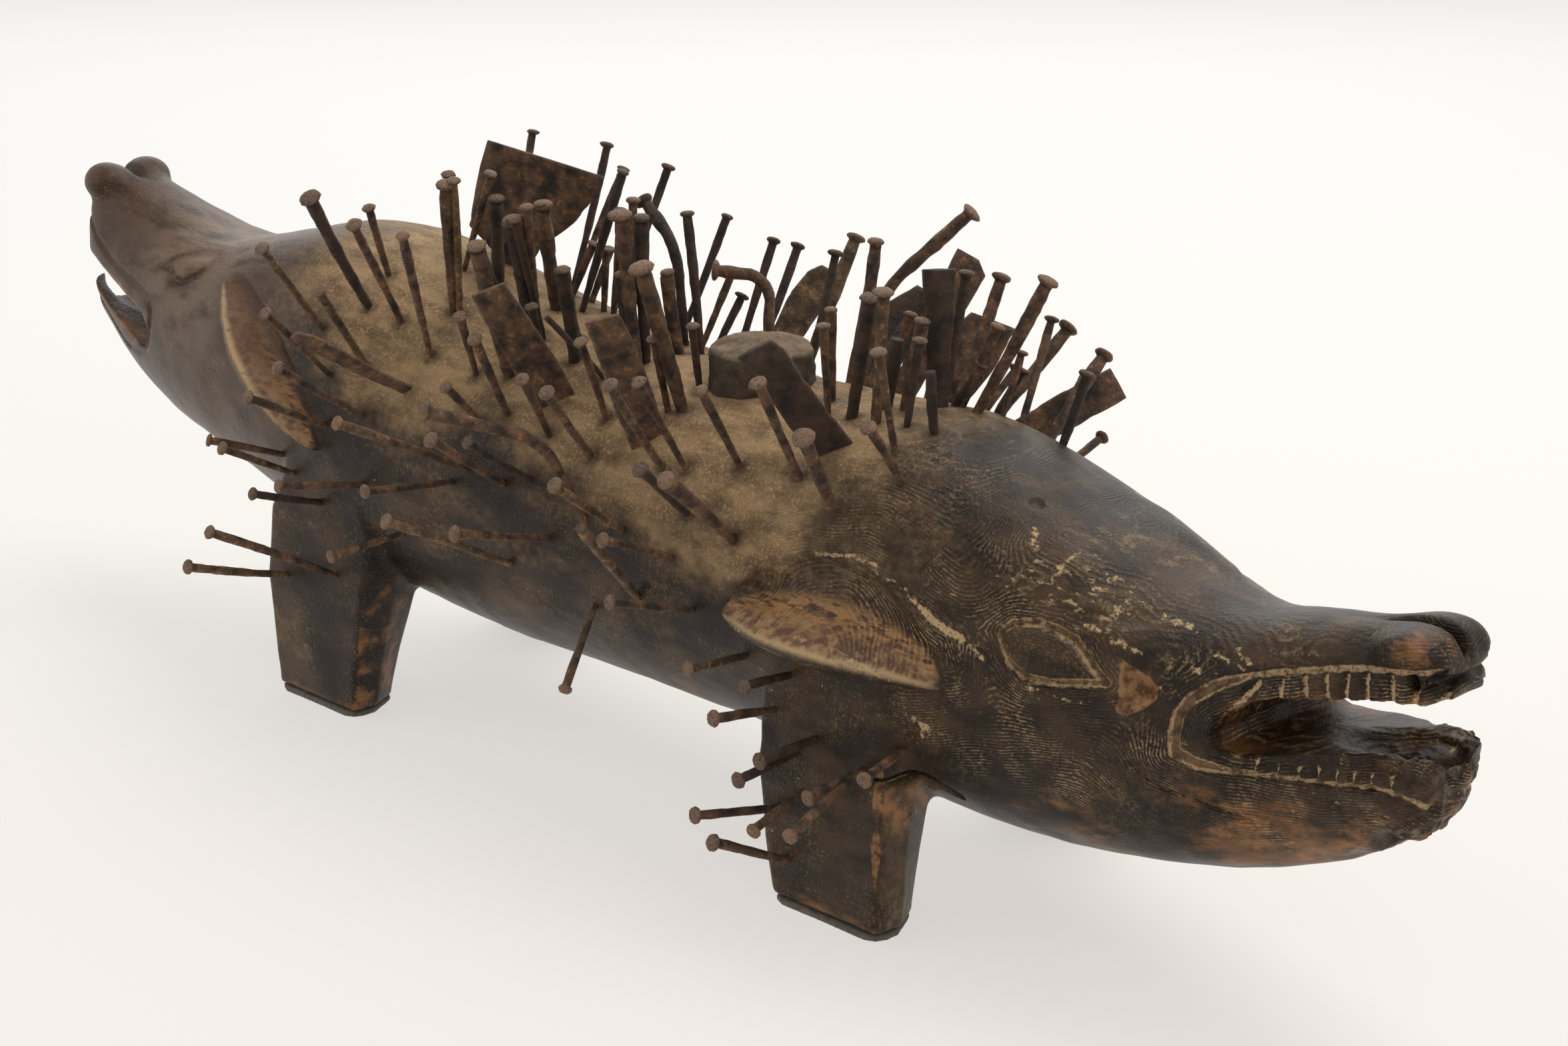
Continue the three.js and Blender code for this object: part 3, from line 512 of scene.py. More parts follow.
def dress_surface(values, xs, ys, zs):
    """Points and four-sided faces where the grid of distances changes sign."""
    inside = values < 0
    count = np.zeros(tuple(n - 1 for n in values.shape), dtype=np.int8)
    for corner in range(8):
        part = tuple(slice(corner >> a & 1, values.shape[a] - 1 + (corner >> a & 1)) for a in range(3))
        count += inside[part]
    cells = np.flatnonzero((count > 0) & (count < 8))
    place = np.full(count.shape, -1, dtype=np.int64)
    place.flat[cells] = np.arange(len(cells))
    base = np.array(np.unravel_index(cells, count.shape))
    total = np.zeros((3, len(cells)))
    hits = np.zeros(len(cells))
    for axis in range(3):
        others = [a for a in range(3) if a != axis]
        for corner in range(4):
            start = base.copy()
            start[others[0]] += corner & 1
            start[others[1]] += corner >> 1
            end = start.copy()
            end[axis] += 1
            from_value = values[tuple(start)].astype(float)
            to_value = values[tuple(end)].astype(float)
            crossed = (from_value < 0) != (to_value < 0)
            share = from_value[crossed] / (from_value[crossed] - to_value[crossed])
            point = start[:, crossed].astype(float)
            point[axis] += share
            total[:, crossed] += point
            hits[crossed] += 1
    total /= hits
    points = np.stack([np.interp(total[a], np.arange(len(s)), s) for a, s in enumerate((xs, ys, zs))], 1)
    faces = []
    for axis in range(3):
        first, second = (axis + 1) % 3, (axis + 2) % 3
        low = [slice(None)] * 3
        high = [slice(None)] * 3
        low[axis] = slice(0, -1)
        high[axis] = slice(1, None)
        crossed = inside[tuple(low)] != inside[tuple(high)]
        edge = np.array(np.nonzero(crossed))
        keep = (edge[first] > 0) & (edge[second] > 0)
        keep &= (edge[first] < values.shape[first] - 1) & (edge[second] < values.shape[second] - 1)
        edge = edge[:, keep]
        leaving = inside[tuple(low)][tuple(edge)]
        corners = []
        for da, db in ((-1, -1), (0, -1), (0, 0), (-1, 0)):
            cell = edge.copy()
            cell[first] += da
            cell[second] += db
            corners.append(place[tuple(cell)])
        quad = np.stack(corners, 1)
        quad[~leaving] = quad[~leaving][:, ::-1]
        faces.append(quad)
    return points, np.concatenate(faces)


def slope_of(x, y, z, here):
    reach = 0.25
    slope = np.stack([carving(x + reach, y, z) - here, carving(x, y + reach, z) - here,
                      carving(x, y, z + reach) - here], 1)
    return slope / reach


def true_up(points):
    """Draw each point onto the carved surface and give its outward direction."""
    for _ in range(2):
        x, y, z = points.T
        here = carving(x, y, z)
        slope = slope_of(x, y, z, here)
        steep = np.maximum(np.sum(slope ** 2, 1), 0.15)
        move = np.clip(-here / steep, -0.9, 0.9)
        points = points + slope * move[:, None]
    return points, slope / np.maximum(np.linalg.norm(slope, axis=1, keepdims=True), 1e-6)


def mesh_of(name, points, faces):
    """A smooth mesh from millimetres about the barrel."""
    mesh = bpy.data.meshes.new(name)
    faces = np.asarray(faces)
    mesh.vertices.add(len(points))
    mesh.vertices.foreach_set("co", ((np.asarray(points) + OFFSET) / 1000).astype(np.float32).ravel())
    mesh.loops.add(faces.size)
    mesh.loops.foreach_set("vertex_index", faces.ravel().astype(np.int32))
    mesh.polygons.add(len(faces))
    sides = faces.shape[1]
    mesh.polygons.foreach_set("loop_start", np.arange(0, faces.size, sides, dtype=np.int32))
    mesh.polygons.foreach_set("loop_total", np.full(len(faces), sides, dtype=np.int32))
    mesh.update(calc_edges=True)
    mesh.polygons.foreach_set("use_smooth", np.ones(len(faces), dtype=bool))
    return mesh


def piece_of(name, mesh, material):
    piece = bpy.data.objects.new(name, mesh)
    bpy.context.scene.collection.objects.link(piece)
    mesh.materials.append(material)
    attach(piece, "root")
    return piece


WOOD_FACES = 188000
points, faces = dress_surface(rough_out(grid_x, grid_y, grid_z), grid_x, grid_y, grid_z)
points, outward = true_up(points)
x, y, z = points.T

# The tool leaves shallow facets and the back is crusted with sand and earth.
crusted = ease(x, -235, -160) * ease(-x, -215, -120) * ease(z, 118, 165)
facets = 0.55 * grain(x, y, z, 24) + 0.28 * grain(x, y + 40, z, 10)
crumbs = crusted * (0.25 * grain(x, y, z, 3.1) + 0.3 * grain(x, y, z, 6.3))
torn = ease(x, 386, 408) * ease(-z, -143, -134)
worn_end = torn * (4.2 * grain(x, y, z, 10) + 2.6 * grain(x, y, z, 5) + 0.8)
sole = ease(z, 4, 9)
points = points + outward * ((facets + crumbs - np.abs(worn_end)) * sole)[:, None]
points[:, 0] = np.clip(points[:, 0], 0.3 - HALF_LENGTH, HALF_LENGTH - 0.3)

rough = mesh_of("carved_block_rough", points, faces)
block = bpy.data.objects.new("carved_block_rough", rough)
bpy.context.scene.collection.objects.link(block)
thin = block.modifiers.new("thin", "DECIMATE")
thin.ratio = min(1.0, WOOD_FACES / (2 * len(faces)))
carved = bpy.data.meshes.new_from_object(block.evaluated_get(bpy.context.evaluated_depsgraph_get()))
bpy.data.objects.remove(block)
carved.polygons.foreach_set("use_smooth", np.ones(len(carved.polygons), dtype=bool))


def points_of(mesh):
    """A mesh's points in millimetres about the barrel."""
    flat = np.zeros(len(mesh.vertices) * 3)
    mesh.vertices.foreach_get("co", flat)
    return flat.reshape(-1, 3) * 1000 - OFFSET


def note(mesh, name, values):
    """Writes one value for each point, for the finish to read."""
    mesh.attributes.new(name, "FLOAT", "POINT").data.foreach_set("value", values.astype(np.float32))


# Where the surface was handled, scratched, chipped or left with earth on it.
# A scratch is a line on the near flank and its width in millimetres.
SCRATCHES = [
    ([(57.9, 76), (58.3, 73), (59.7, 67)], 1.8), ([(62.9, 68), (62.2, 65)], 2.0),
    ([(62.2, 63), (62.6, 56)], 2.4), ([(68.7, 51), (68.9, 45)], 1.8), ([(66, 60), (68, 58.5)], 1.0),
    ([(65.5, 55.5), (67.5, 54)], 1.2), ([(70, 55), (72.5, 54)], 1.2), ([(63.5, 50), (66, 46.5)], 1.0),
    ([(66.8, 40), (68.5, 37)], 1.2), ([(69.5, 35), (72.5, 31)], 1.5), ([(72, 46), (76, 43)], 0.8),
    ([(76.5, 32), (78.2, 27)], 1.6), ([(78.5, 36), (82, 33.5)], 1.0), ([(80, 41), (82.5, 36)], 1.2),
    ([(74.9, 20), (76.2, 13)], 1.0), ([(76.1, 19), (77, 15)], 0.9), ([(47.6, 97), (50.4, 94)], 2.0),
    ([(44.6, 45.2), (46, 43.6)], 0.7), ([(47, 42.6), (49.2, 39)], 0.9), ([(49.8, 37), (51.2, 32)], 1.6),
    ([(51.6, 31), (52.7, 27), (56.2, 20.5)], 2.8), ([(56.9, 18.5), (58.5, 13)], 1.9),
    ([(51.5, -38), (53, -44)], 3.0), ([(50, -30), (54, -38)], 1.6), ([(46.8, -70), (49, -71)], 1.6),
    ([(38.5, 46), (43, 50), (46, 48)], 1.6), ([(27.6, -9), (34.7, -1)], 1.0),
    ([(38.7, 2), (42.5, 0), (46.3, -4), (50.1, -10)], 0.9), ([(40.5, -28), (42, -32)], 0.8),
    ([(60, -12), (62, -16)], 0.9), ([(64.5, 0), (66, -3)], 0.8), ([(63, 4), (68, 2), (71, 4)], 0.8),
]
# A distance in millimetres that counts as nowhere near a mark.
FAR_AWAY = 30.0


def tan_distance(x, z):
    """Distance to the nearest pale scratch, or painted highlight on a tooth or bead edge, less its half
    width.
    """
    nearest = np.full(x.shape, FAR_AWAY)
    # The pale lines along the tooth gaps and the short ones at the bead gaps are painted highlights on
    # the edges of the teeth and beads.
    marks = [([(a + 0.25, b), (c + 0.25, d)], 1.2) for a, b, c, d in TOOTH_GAPS]
    marks += [([(a + 0.2, b + 2.5), (a + 0.3, b - 1.5)], 0.5) for a, b in BEAD_GAPS]
    marks += [(line, width * 0.5 - 0.2) for line, width in SCRATCHES]
    for line, width in marks:
        away = line_distance(x, z, traced(line)) - width
        nearest = np.minimum(nearest, away)
    return nearest


def knife_distance(x, z):
    """Distance to the edge of the nearest wide knife cut, negative inside it."""
    nearest = line_distance(x, z, traced(NEAR_EYE), True) - 1.35
    corner = 1.4 * ease(-x, -358, -338)
    nearest = np.minimum(nearest, line_distance(x, z, traced(NEAR_LIP)) - 0.7 - corner)
    return nearest


# How far up the back the sand reaches, from place to place along it.
SAND_PLACES = [-230, -130, -60, 10, 60, 110, 170]
SAND_EDGES = [0.55, 0.42, 0.5, 0.38, 0.1, 0.12, 0.45]

BLACK_CRACKS = [(CHEEK_CRACK, 0.15), (BELLY_SPLIT, 0.5), ([(41, 59), (46.5, 52), (50, 44)], 0.1),
                ([(71.9, -3), (66, -7), (60.5, -4)], 0.2), ([(59.5, -13), (63, -19), (67, -23)], 0.05),
                ([(71.6, 24), (73, 17), (72.6, 9), (73.2, 3)], 0.05), ([(72.9, 15), (74.4, 12)], 0.05)]


def note_marks(mesh, x, y, z, flank):
    """Distances to the knife cuts, pale scratches and painted highlights, bare chips and black cracks."""
    middle = section_at(x)[0]
    on_flank = flank > 0.5
    note(mesh, "pale_and_highlight_away", np.where(on_flank, tan_distance(x, z), FAR_AWAY))
    cut_here = (flank > 0.4) & (x > 240)
    note(mesh, "knife_away", np.where(cut_here, knife_distance(x, z), FAR_AWAY))
    near_front = LEG_NEAR_X + FOOT_LENGTH / 2 + np.interp(z, [0, 62, 95], [-0.5, 1.5, 2.5])
    from_arris = (np.abs(y - middle) - STANCE_HALF + 0.5) * 0.8
    arris_line = np.hypot(x - near_front + 1.5, from_arris) - 0.9 + 2.2 * grain(x, y, z, 9)
    bare = np.where((z < 84) & (x > 150), arris_line, FAR_AWAY)
    chip = outline_distance(x, z, traced(WEDGE_CHIP))
    note(mesh, "bare_away", np.where((np.abs(y) > 20) & (x > 250), chip, bare))
    crack = np.full(len(x), FAR_AWAY)
    for line, width in BLACK_CRACKS:
        crack = np.minimum(crack, line_distance(x, z, traced(line)) - width)
    note(mesh, "crack_away", np.where(on_flank, crack, FAR_AWAY))


def note_wear(mesh, x, y, z, leg_side, forward):
    """Where the wood is rubbed through to orange brown, and where shade is painted deep in the mouths."""
    keel = section_at(x)[2]
    mouth_near = ease(-outline_distance(x, z, traced(NEAR_ROOF + NEAR_FLOOR)), -5, -1)
    mouth_far = ease(-outline_distance(x, z, traced(FAR_MOUTH)), -5, -1)
    # The value noted as inner is painted shade deep inside both mouths.
    near_mouth_shade = np.maximum(mouth_near * ease(-np.abs(y), -36, -16) * ease(-x, -425, -385), 0)
    note(mesh, "inner", np.maximum(near_mouth_shade, mouth_far * ease(-np.abs(y), -34, -20)))
    jaw = ease(x, 300, 365) * ease(-z, -118, -92) * ease(z, 50, 75) * 0.72
    jaw = jaw * (1 - 0.45 * ease(x, 375, 405))
    jaw_tip = ease(x, 380, 408) * ease(-z, -144, -120) * 0.35
    lobe = np.exp(-(((x - 415) / 11) ** 2 + ((z - 168) / 12) ** 2)) * ease(-y, 3, 9) * 0.72
    cheek = ease(x, 225, 260) * ease(-x, -345, -290) * ease(-z, -100, -70) * 0.5
    near_leg = leg_side * ease(z, 30, 62) * 0.7
    far_leg = ease(forward, 0.35, 0.8) * ease(-x, 100, 120) * ease(-z, -84, -60)
    far_leg = far_leg * ease(-y, 20, 50) * 0.42
    feet_edge = ease(-z, -16, -5) * 0.4
    chin = ease(-(z - keel), -6, -1) * ease(x, 190, 260) * 0.7
    worn = np.maximum.reduce([mouth_near * 0.5, mouth_far * 0.8, jaw, jaw_tip, lobe, cheek, near_leg,
                              far_leg, feet_edge, chin])
    note(mesh, "worn", np.clip(worn, 0, 1))


def note_ears(mesh, x, y, z, flank):
    """The bowls of the ears and how high up each the point lies."""
    middle, crest, keel, wide, half = section_at(x)
    inside_ear = np.zeros_like(x)
    ear_height = np.zeros_like(x)
    for shape in (NEAR_EAR, FAR_EAR):
        u, v = ear_place(x, z, shape)
        inside = np.clip(u, 0.01, 0.99)
        rim = shape["arch"] / 100 * HALF_DEPTH * np.sin(np.pi * inside) ** 0.7 + 1
        within = ease(v, -1.5, 1.5) * ease(rim - v, 0.0, 2.5) * ease(u, 0.01, 0.05)
        within = within * ease(-u, -0.97, -0.9) * flank * ease(np.abs(y - middle) - half * 0.55, 0, 6)
        inside_ear = np.maximum(inside_ear, within)
        ear_height = np.where(within > 0, np.clip(v / rim, 0, 1), ear_height)
    note(mesh, "ear_in", inside_ear)
    note(mesh, "ear_up", ear_height)
    return inside_ear


# The rasp followed the eye, the lips, the ear and the brow, so its marks run
# at an even distance from these lines.
ROUND_THE_EAR = [(27.6, -5), (33.6, 28), (38.2, 40), (43.6, 45), (47.8, 40), (50.6, 33), (55.2, 22),
                 (57, 0), (50.1, -12)]
OVER_THE_BROW = [(60, 75), (72, 54), (80, 50), (92, 62)]
EAR_ARC_CENTRE = (41, -10)
EAR_ARC_SPREAD = 0.65


def note_rasp_marks(mesh, x, y, z, flank, back, inside_ear):
    """Where the rasp marks run, how strong they are, and where the skin flaked."""
    middle, crest, keel, wide, half = section_at(x)
    over = (z - wide) / (crest - wide)
    on_shin = ease(-z, -80, -66)
    ring = line_distance(x, z, traced(NEAR_EYE), True)
    for line in (NEAR_LIP, ROUND_THE_EAR, OVER_THE_BROW):
        ring = blend(ring, line_distance(x, z, traced(line)), 14)
    arc_x, arc_z = traced([EAR_ARC_CENTRE])[0]
    ring = ring * (1 - inside_ear) + EAR_ARC_SPREAD * np.hypot(x - arc_x, z - arc_z) * inside_ear
    slanted = 0.64 * x + 0.77 * z
    ring = ring * (1 - on_shin) + slanted * on_shin
    note(mesh, "ring", ring + 2.2 * grain(x, y, z, 21) + 0.9 * grain(x, y, z, 9))
    lined = ease(x, 95, 140) * (1 - 0.6 * back)
    lined = lined * (0.45 + 0.55 * ease(-over, -0.8, -0.4)) * (1 - 0.8 * on_shin)
    lined = lined * (1 - 0.75 * ease(-x, -248, -215) * ease(-z, -128, -112))
    lined = lined * (1 - 0.8 * ease(-outline_distance(x, z, traced(NEAR_EYE)), 0, 2))
    in_bowl = inside_ear * ease(x, 0, 50) * (0.3 + 0.7 * ease(x, 176, 196))
    note(mesh, "lined", lined * (1 - inside_ear) + in_bowl)
    flaked = np.exp(-(((x - along_at(66)) / 38) ** 2 + ((z - height_at(54)) / 17) ** 2)) * flank
    note(mesh, "flaked", np.clip(flaked + 0.2 * lined, 0, 1))


def weather(mesh):
    """Note on the wood where each kind of wear and dirt lies, and where sheen and shade are painted."""
    x, y, z = points_of(mesh).T
    facing = np.zeros(len(x) * 3)
    mesh.vertex_normals.foreach_get("vector", facing)
    forward, aside, upward = facing.reshape(-1, 3).T
    middle, crest, keel, wide, half = section_at(x)
    flank = side_share(x, y)
    over = (z - wide) / (crest - wide)
    dip = 0.28 * grain(x, y, z, 44) + 0.12 * grain(x, y, z, 15)
    low_edge = np.interp(x, SAND_PLACES, SAND_EDGES)
    back = ease(x, -250, -165) * ease(-x, -222, -140)
    back = back * ease(over + dip, low_edge - 0.28, low_edge + 0.4)
    leg_side = ease(forward, 0.55, 0.9) * ease(-z, -82, -60) * ease(x, 190, 200)
    shoulder = ease(x, 95, 130) * ease(-x, -265, -190) * ease(over, -0.1, 0.35) * ease(-over, -1.0, -0.7)
    drift = ease(grain(x * 0.35, y, z, 13), 0.05, 0.6) * ease(-x, -150, -60) * ease(x, -330, -230)
    sand = [back, leg_side * 0.3, shoulder * 0.34, drift * 0.34 * flank]
    note(mesh, "sand", np.maximum.reduce(sand))
    note(mesh, "far_end", ease(-x, 150, 235))
    # A painted sheen, a lighter brown, on the upward-facing top of the far neck.
    on_top = ease(upward - 0.6 * aside, 0.45, 1.1)
    note(mesh, "neck_sheen_mask", ease(-x, 245, 285) * ease(x, -385, -330) * on_top)
    note_marks(mesh, x, y, z, flank)
    note_wear(mesh, x, y, z, leg_side, forward)
    inside_ear = note_ears(mesh, x, y, z, flank)
    note_rasp_marks(mesh, x, y, z, flank, back, inside_ear)


weather(carved)


# Finish of the wood: nearly black and satin where handled, orange brown where
# rubbed through, with pale earth held in the knife lines and rasp marks, painted
# shade in the mouths and ear bowls, and painted highlights on the far neck,
# teeth and beads.
def shader(name):
    """A new material with one glossy or dull surface."""
    material = bpy.data.materials.new(name)
    material.use_nodes = True
    tree = material.node_tree
    tree.nodes.clear()
    surface = tree.nodes.new("ShaderNodeBsdfPrincipled")
    output = tree.nodes.new("ShaderNodeOutputMaterial")
    tree.links.new(surface.outputs["BSDF"], output.inputs["Surface"])
    return material, tree, surface


def fit(tree, socket, value):
    if hasattr(value, "is_output"):
        tree.links.new(value, socket)
    elif isinstance(value, tuple) and len(value) == 3:
        socket.default_value = (*value, 1.0)
    else:
        socket.default_value = value


def maths(tree, operation, a, b=0.0, clamp=False):
    node = tree.nodes.new("ShaderNodeMath")
    node.operation = operation
    node.use_clamp = clamp
    fit(tree, node.inputs[0], a)
    fit(tree, node.inputs[1], b)
    return node.outputs[0]


def times(tree, a, b, clamp=False):
    return maths(tree, "MULTIPLY", a, b, clamp)


def plus(tree, a, b, clamp=False):
    return maths(tree, "ADD", a, b, clamp)


def minus(tree, a, b):
    return maths(tree, "SUBTRACT", a, b)


def between(tree, value, low, high):
    """Rises softly from 0 at the low value to 1 at the high one."""
    node = tree.nodes.new("ShaderNodeMapRange")
    node.interpolation_type = "SMOOTHSTEP"
    fit(tree, node.inputs["Value"], value)
    node.inputs["From Min"].default_value = low
    node.inputs["From Max"].default_value = high
    return node.outputs["Result"]


def layered(tree, amount, under, over):
    """One colour laid over another."""
    node = tree.nodes.new("ShaderNodeMix")
    node.data_type = "RGBA"
    fit(tree, node.inputs[0], amount)
    fit(tree, node.inputs[6], under)
    fit(tree, node.inputs[7], over)
    return node.outputs[2]


def noted(tree, name):
    """A value that was noted on the mesh."""
    node = tree.nodes.new("ShaderNodeAttribute")
    node.attribute_name = name
    return node.outputs["Fac"]


def mottle(tree, size, detail=4.0, stretch=None, rough=0.6):
    """Cloudy variation; size is that of its patches, in millimetres."""
    coords = tree.nodes.new("ShaderNodeTexCoord").outputs["Object"]
    if stretch:
        node = tree.nodes.new("ShaderNodeMapping")
        node.inputs["Scale"].default_value = stretch
        tree.links.new(coords, node.inputs["Vector"])
        coords = node.outputs["Vector"]
    noise = tree.nodes.new("ShaderNodeTexNoise")
    noise.inputs["Scale"].default_value = 1000 / size
    noise.inputs["Detail"].default_value = detail
    noise.inputs["Roughness"].default_value = rough
    tree.links.new(coords, noise.inputs["Vector"])
    return noise.outputs["Fac"]


def raised(tree, surface, height, strength, reach):
    """Fine relief that is too small for the mesh."""
    node = tree.nodes.new("ShaderNodeBump")
    node.inputs["Strength"].default_value = strength
    node.inputs["Distance"].default_value = reach
    fit(tree, node.inputs["Height"], height)
    tree.links.new(node.outputs["Normal"], surface.inputs["Normal"])


NEARLY_BLACK = (0.013, 0.0080, 0.0050)
DARK_BROWN = (0.066, 0.038, 0.0195)
RUBBED_ORANGE = (0.27, 0.116, 0.040)
RAW_WOOD = (0.235, 0.130, 0.060)
PALE_EARTH = (0.45, 0.31, 0.165)
SANDY_CRUST = (0.335, 0.218, 0.112)
SANDY_BROWN = (0.175, 0.108, 0.055)
DUSTY_PLUM = (0.080, 0.043, 0.024)
PAINTED_NECK_SHEEN = (0.25, 0.175, 0.125)
RING_SPACING = 1.25
CUT_BROWN = (0.15, 0.088, 0.043)
TORN_BROWN = (0.085, 0.036, 0.016)
MOUTH_SHADE_BROWN = (0.040, 0.019, 0.008)
EAR_PLUM = (0.120, 0.064, 0.040)
EAR_BROWN = (0.33, 0.200, 0.102)
EAR_ORANGE = (0.33, 0.175, 0.070)
WALL_BROWN_AND_SHADE = (0.055, 0.026, 0.015)
CRACK_BLACK = (0.006, 0.004, 0.003)
IRON_STAIN = (0.035, 0.022, 0.014)

oiled_wood, tree, surface = shader("oiled_dark_wood")
clouds = mottle(tree, 46, 6)
streaks = mottle(tree, 9, 5, stretch=(0.3, 1.0, 1.0))
specks = mottle(tree, 1.3, 4)
flecks = mottle(tree, 4.2, 5)
patches = mottle(tree, 22, 6)

# Bare wood: dark and cloudy, duller towards the far head, with a painted sheen on the top of the far
# neck, and fine dust.
tone = plus(tree, times(tree, clouds, 0.6), times(tree, streaks, 0.4))
colour = layered(tree, between(tree, tone, 0.42, 0.66), NEARLY_BLACK, DARK_BROWN)
far_tone = times(tree, noted(tree, "far_end"), between(tree, streaks, 0.1, 0.7))
colour = layered(tree, far_tone, colour, DUSTY_PLUM)
painted_neck_highlight = times(tree, noted(tree, "neck_sheen_mask"), between(tree, streaks, 0.3, 0.6))
colour = layered(tree, times(tree, painted_neck_highlight, 0.45), colour, PAINTED_NECK_SHEEN)
dust = times(tree, between(tree, specks, 0.52, 0.74), between(tree, patches, 0.36, 0.62))
colour = layered(tree, times(tree, dust, 0.34), colour, PALE_EARTH)

# Rubbed through on the jaw and the legs, and dark brown painted shade deep in the mouths.
uneven = minus(tree, plus(tree, times(tree, streaks, 1.7), patches), 1.35)
rubbed = between(tree, plus(tree, noted(tree, "worn"), uneven), 0.35, 1.0)
rubbed = times(tree, rubbed, between(tree, noted(tree, "worn"), 0.05, 0.35))
colour = layered(tree, times(tree, rubbed, 0.9), colour, RUBBED_ORANGE)
colour = layered(tree, times(tree, noted(tree, "inner"), 0.85), colour, MOUTH_SHADE_BROWN)

# The ear bowls: plum brown floor, orange fibres over it, a dark wall of painted shade under the rim, pale
# lip.
fibres = mottle(tree, 3.4, 5, stretch=(0.35, 1.0, 1.6), rough=0.7)
up_bowl = plus(tree, noted(tree, "ear_up"), times(tree, minus(tree, fibres, 0.5), 0.5))
floor_tone = plus(tree, times(tree, flecks, 0.5), times(tree, patches, 0.5))
ear_colour = layered(tree, between(tree, floor_tone, 0.43, 0.56), EAR_PLUM, EAR_BROWN)
strands = layered(tree, between(tree, fibres, 0.40, 0.56), WALL_BROWN_AND_SHADE, EAR_ORANGE)
ear_colour = layered(tree, between(tree, up_bowl, 0.16, 0.34), ear_colour, strands)
# High in the bowl the wall goes nearly black: painted shade under the overhanging rim.
shaded_ear_wall = layered(tree, between(tree, fibres, 0.45, 0.65), NEARLY_BLACK, WALL_BROWN_AND_SHADE)
ear_colour = layered(tree, between(tree, up_bowl, 0.42, 0.58), ear_colour, shaded_ear_wall)
ear_colour = layered(tree, times(tree, noted(tree, "far_end"), 0.8), ear_colour, TORN_BROWN)
lip_line = minus(tree, 1.0, between(tree, noted(tree, "ear_up"), 0.02, 0.10))
lip_line = times(tree, lip_line, between(tree, flecks, 0.24, 0.46))
ear_colour = layered(tree, lip_line, ear_colour, PALE_EARTH)
colour = layered(tree, noted(tree, "ear_in"), colour, ear_colour)

# Sand and earth crusted on the back.
crust = plus(tree, noted(tree, "sand"), times(tree, flecks, 0.8))
crust = between(tree, minus(tree, crust, 0.4), 0.12, 0.95)
crust = times(tree, crust, between(tree, patches, 0.15, 0.52))
sand_tone = layered(tree, between(tree, streaks, 0.34, 0.66), SANDY_BROWN, SANDY_CRUST)
sand_tone = layered(tree, between(tree, specks, 0.5, 0.72), sand_tone, PALE_EARTH)
colour = layered(tree, times(tree, crust, 0.92), colour, sand_tone)

# Rasp marks: dark furrows with pale earth held along their edges.
phase = times(tree, noted(tree, "ring"), 2 * math.pi / RING_SPACING)
phase = plus(tree, phase, times(tree, flecks, 5.0))
wave = maths(tree, "SINE", phase)
broken = between(tree, mottle(tree, 2.2, 4, rough=0.75), 0.40, 0.62)
furrow = minus(tree, 1.0, between(tree, wave, -0.9, 0.0))
furrow = times(tree, furrow, noted(tree, "lined"))
worked = between(tree, mottle(tree, 15, 4), 0.38, 0.62)
furrow = times(tree, furrow, worked)
colour = layered(tree, times(tree, furrow, 0.3), colour, NEARLY_BLACK)
lines = times(tree, between(tree, wave, 0.0, 0.9), broken)
lines = times(tree, lines, noted(tree, "lined"))
pale_patches = between(tree, patches, 0.44, 0.66)
in_ear = times(tree, noted(tree, "ear_in"), 0.34)
held = plus(tree, times(tree, pale_patches, 0.72), in_ear)
held = plus(tree, held, times(tree, worked, 0.12))
held = times(tree, lines, held, clamp=True)
colour = layered(tree, held, colour, PALE_EARTH)

# Knife cuts: brown inside, with a pale and broken rim.
edge = minus(tree, times(tree, mottle(tree, 2.2, 4, rough=0.7), 4.4), 2.1)
cut_in = between(tree, minus(tree, times(tree, edge, 0.4), noted(tree, "knife_away")), -0.3, 0.3)
cut_tone = layered(tree, between(tree, flecks, 0.4, 0.6), DARK_BROWN, CUT_BROWN)
colour = layered(tree, cut_in, colour, cut_tone)
rim = maths(tree, "ABSOLUTE", plus(tree, noted(tree, "knife_away"), times(tree, edge, 0.5)))
rim = minus(tree, 1.0, between(tree, rim, 0.15, 0.75))
rim = times(tree, rim, between(tree, specks, 0.3, 0.5))
rim = times(tree, rim, between(tree, flecks, 0.33, 0.54))
colour = layered(tree, times(tree, rim, 0.7), colour, PALE_EARTH)

# Pale scratches, painted highlights along the teeth and beads, flakes, bare chips, iron stains and black
# cracks.
pale_marks_and_highlights = between(tree, minus(tree, edge, noted(tree, "pale_and_highlight_away")), -0.3, 0.5)
pale_marks_and_highlights = times(tree, pale_marks_and_highlights, plus(tree, between(tree, specks, 0.3, 0.55), 0.25, clamp=True))
colour = layered(tree, pale_marks_and_highlights, colour, PALE_EARTH)
flake = mottle(tree, 2.8, 4, stretch=(0.45, 1.0, 1.3), rough=0.65)
flake = plus(tree, flake, times(tree, noted(tree, "flaked"), 0.12))
flake = plus(tree, flake, times(tree, patches, 0.2))
flake = times(tree, between(tree, flake, 0.79, 0.86), 0.62)
colour = layered(tree, flake, colour, PALE_EARTH)
chipped = between(tree, minus(tree, times(tree, edge, 0.4), noted(tree, "bare_away")), -0.2, 0.5)
raw = layered(tree, between(tree, flecks, 0.36, 0.6), TORN_BROWN, RAW_WOOD)
colour = layered(tree, chipped, colour, raw)
stain = times(tree, noted(tree, "stain"), between(tree, flecks, 0.25, 0.6))
colour = layered(tree, times(tree, stain, 0.75), colour, IRON_STAIN)
split = between(tree, minus(tree, times(tree, edge, 0.25), noted(tree, "crack_away")), -0.25, 0.15)
colour = layered(tree, split, colour, CRACK_BLACK)
fit(tree, surface.inputs["Base Color"], colour)

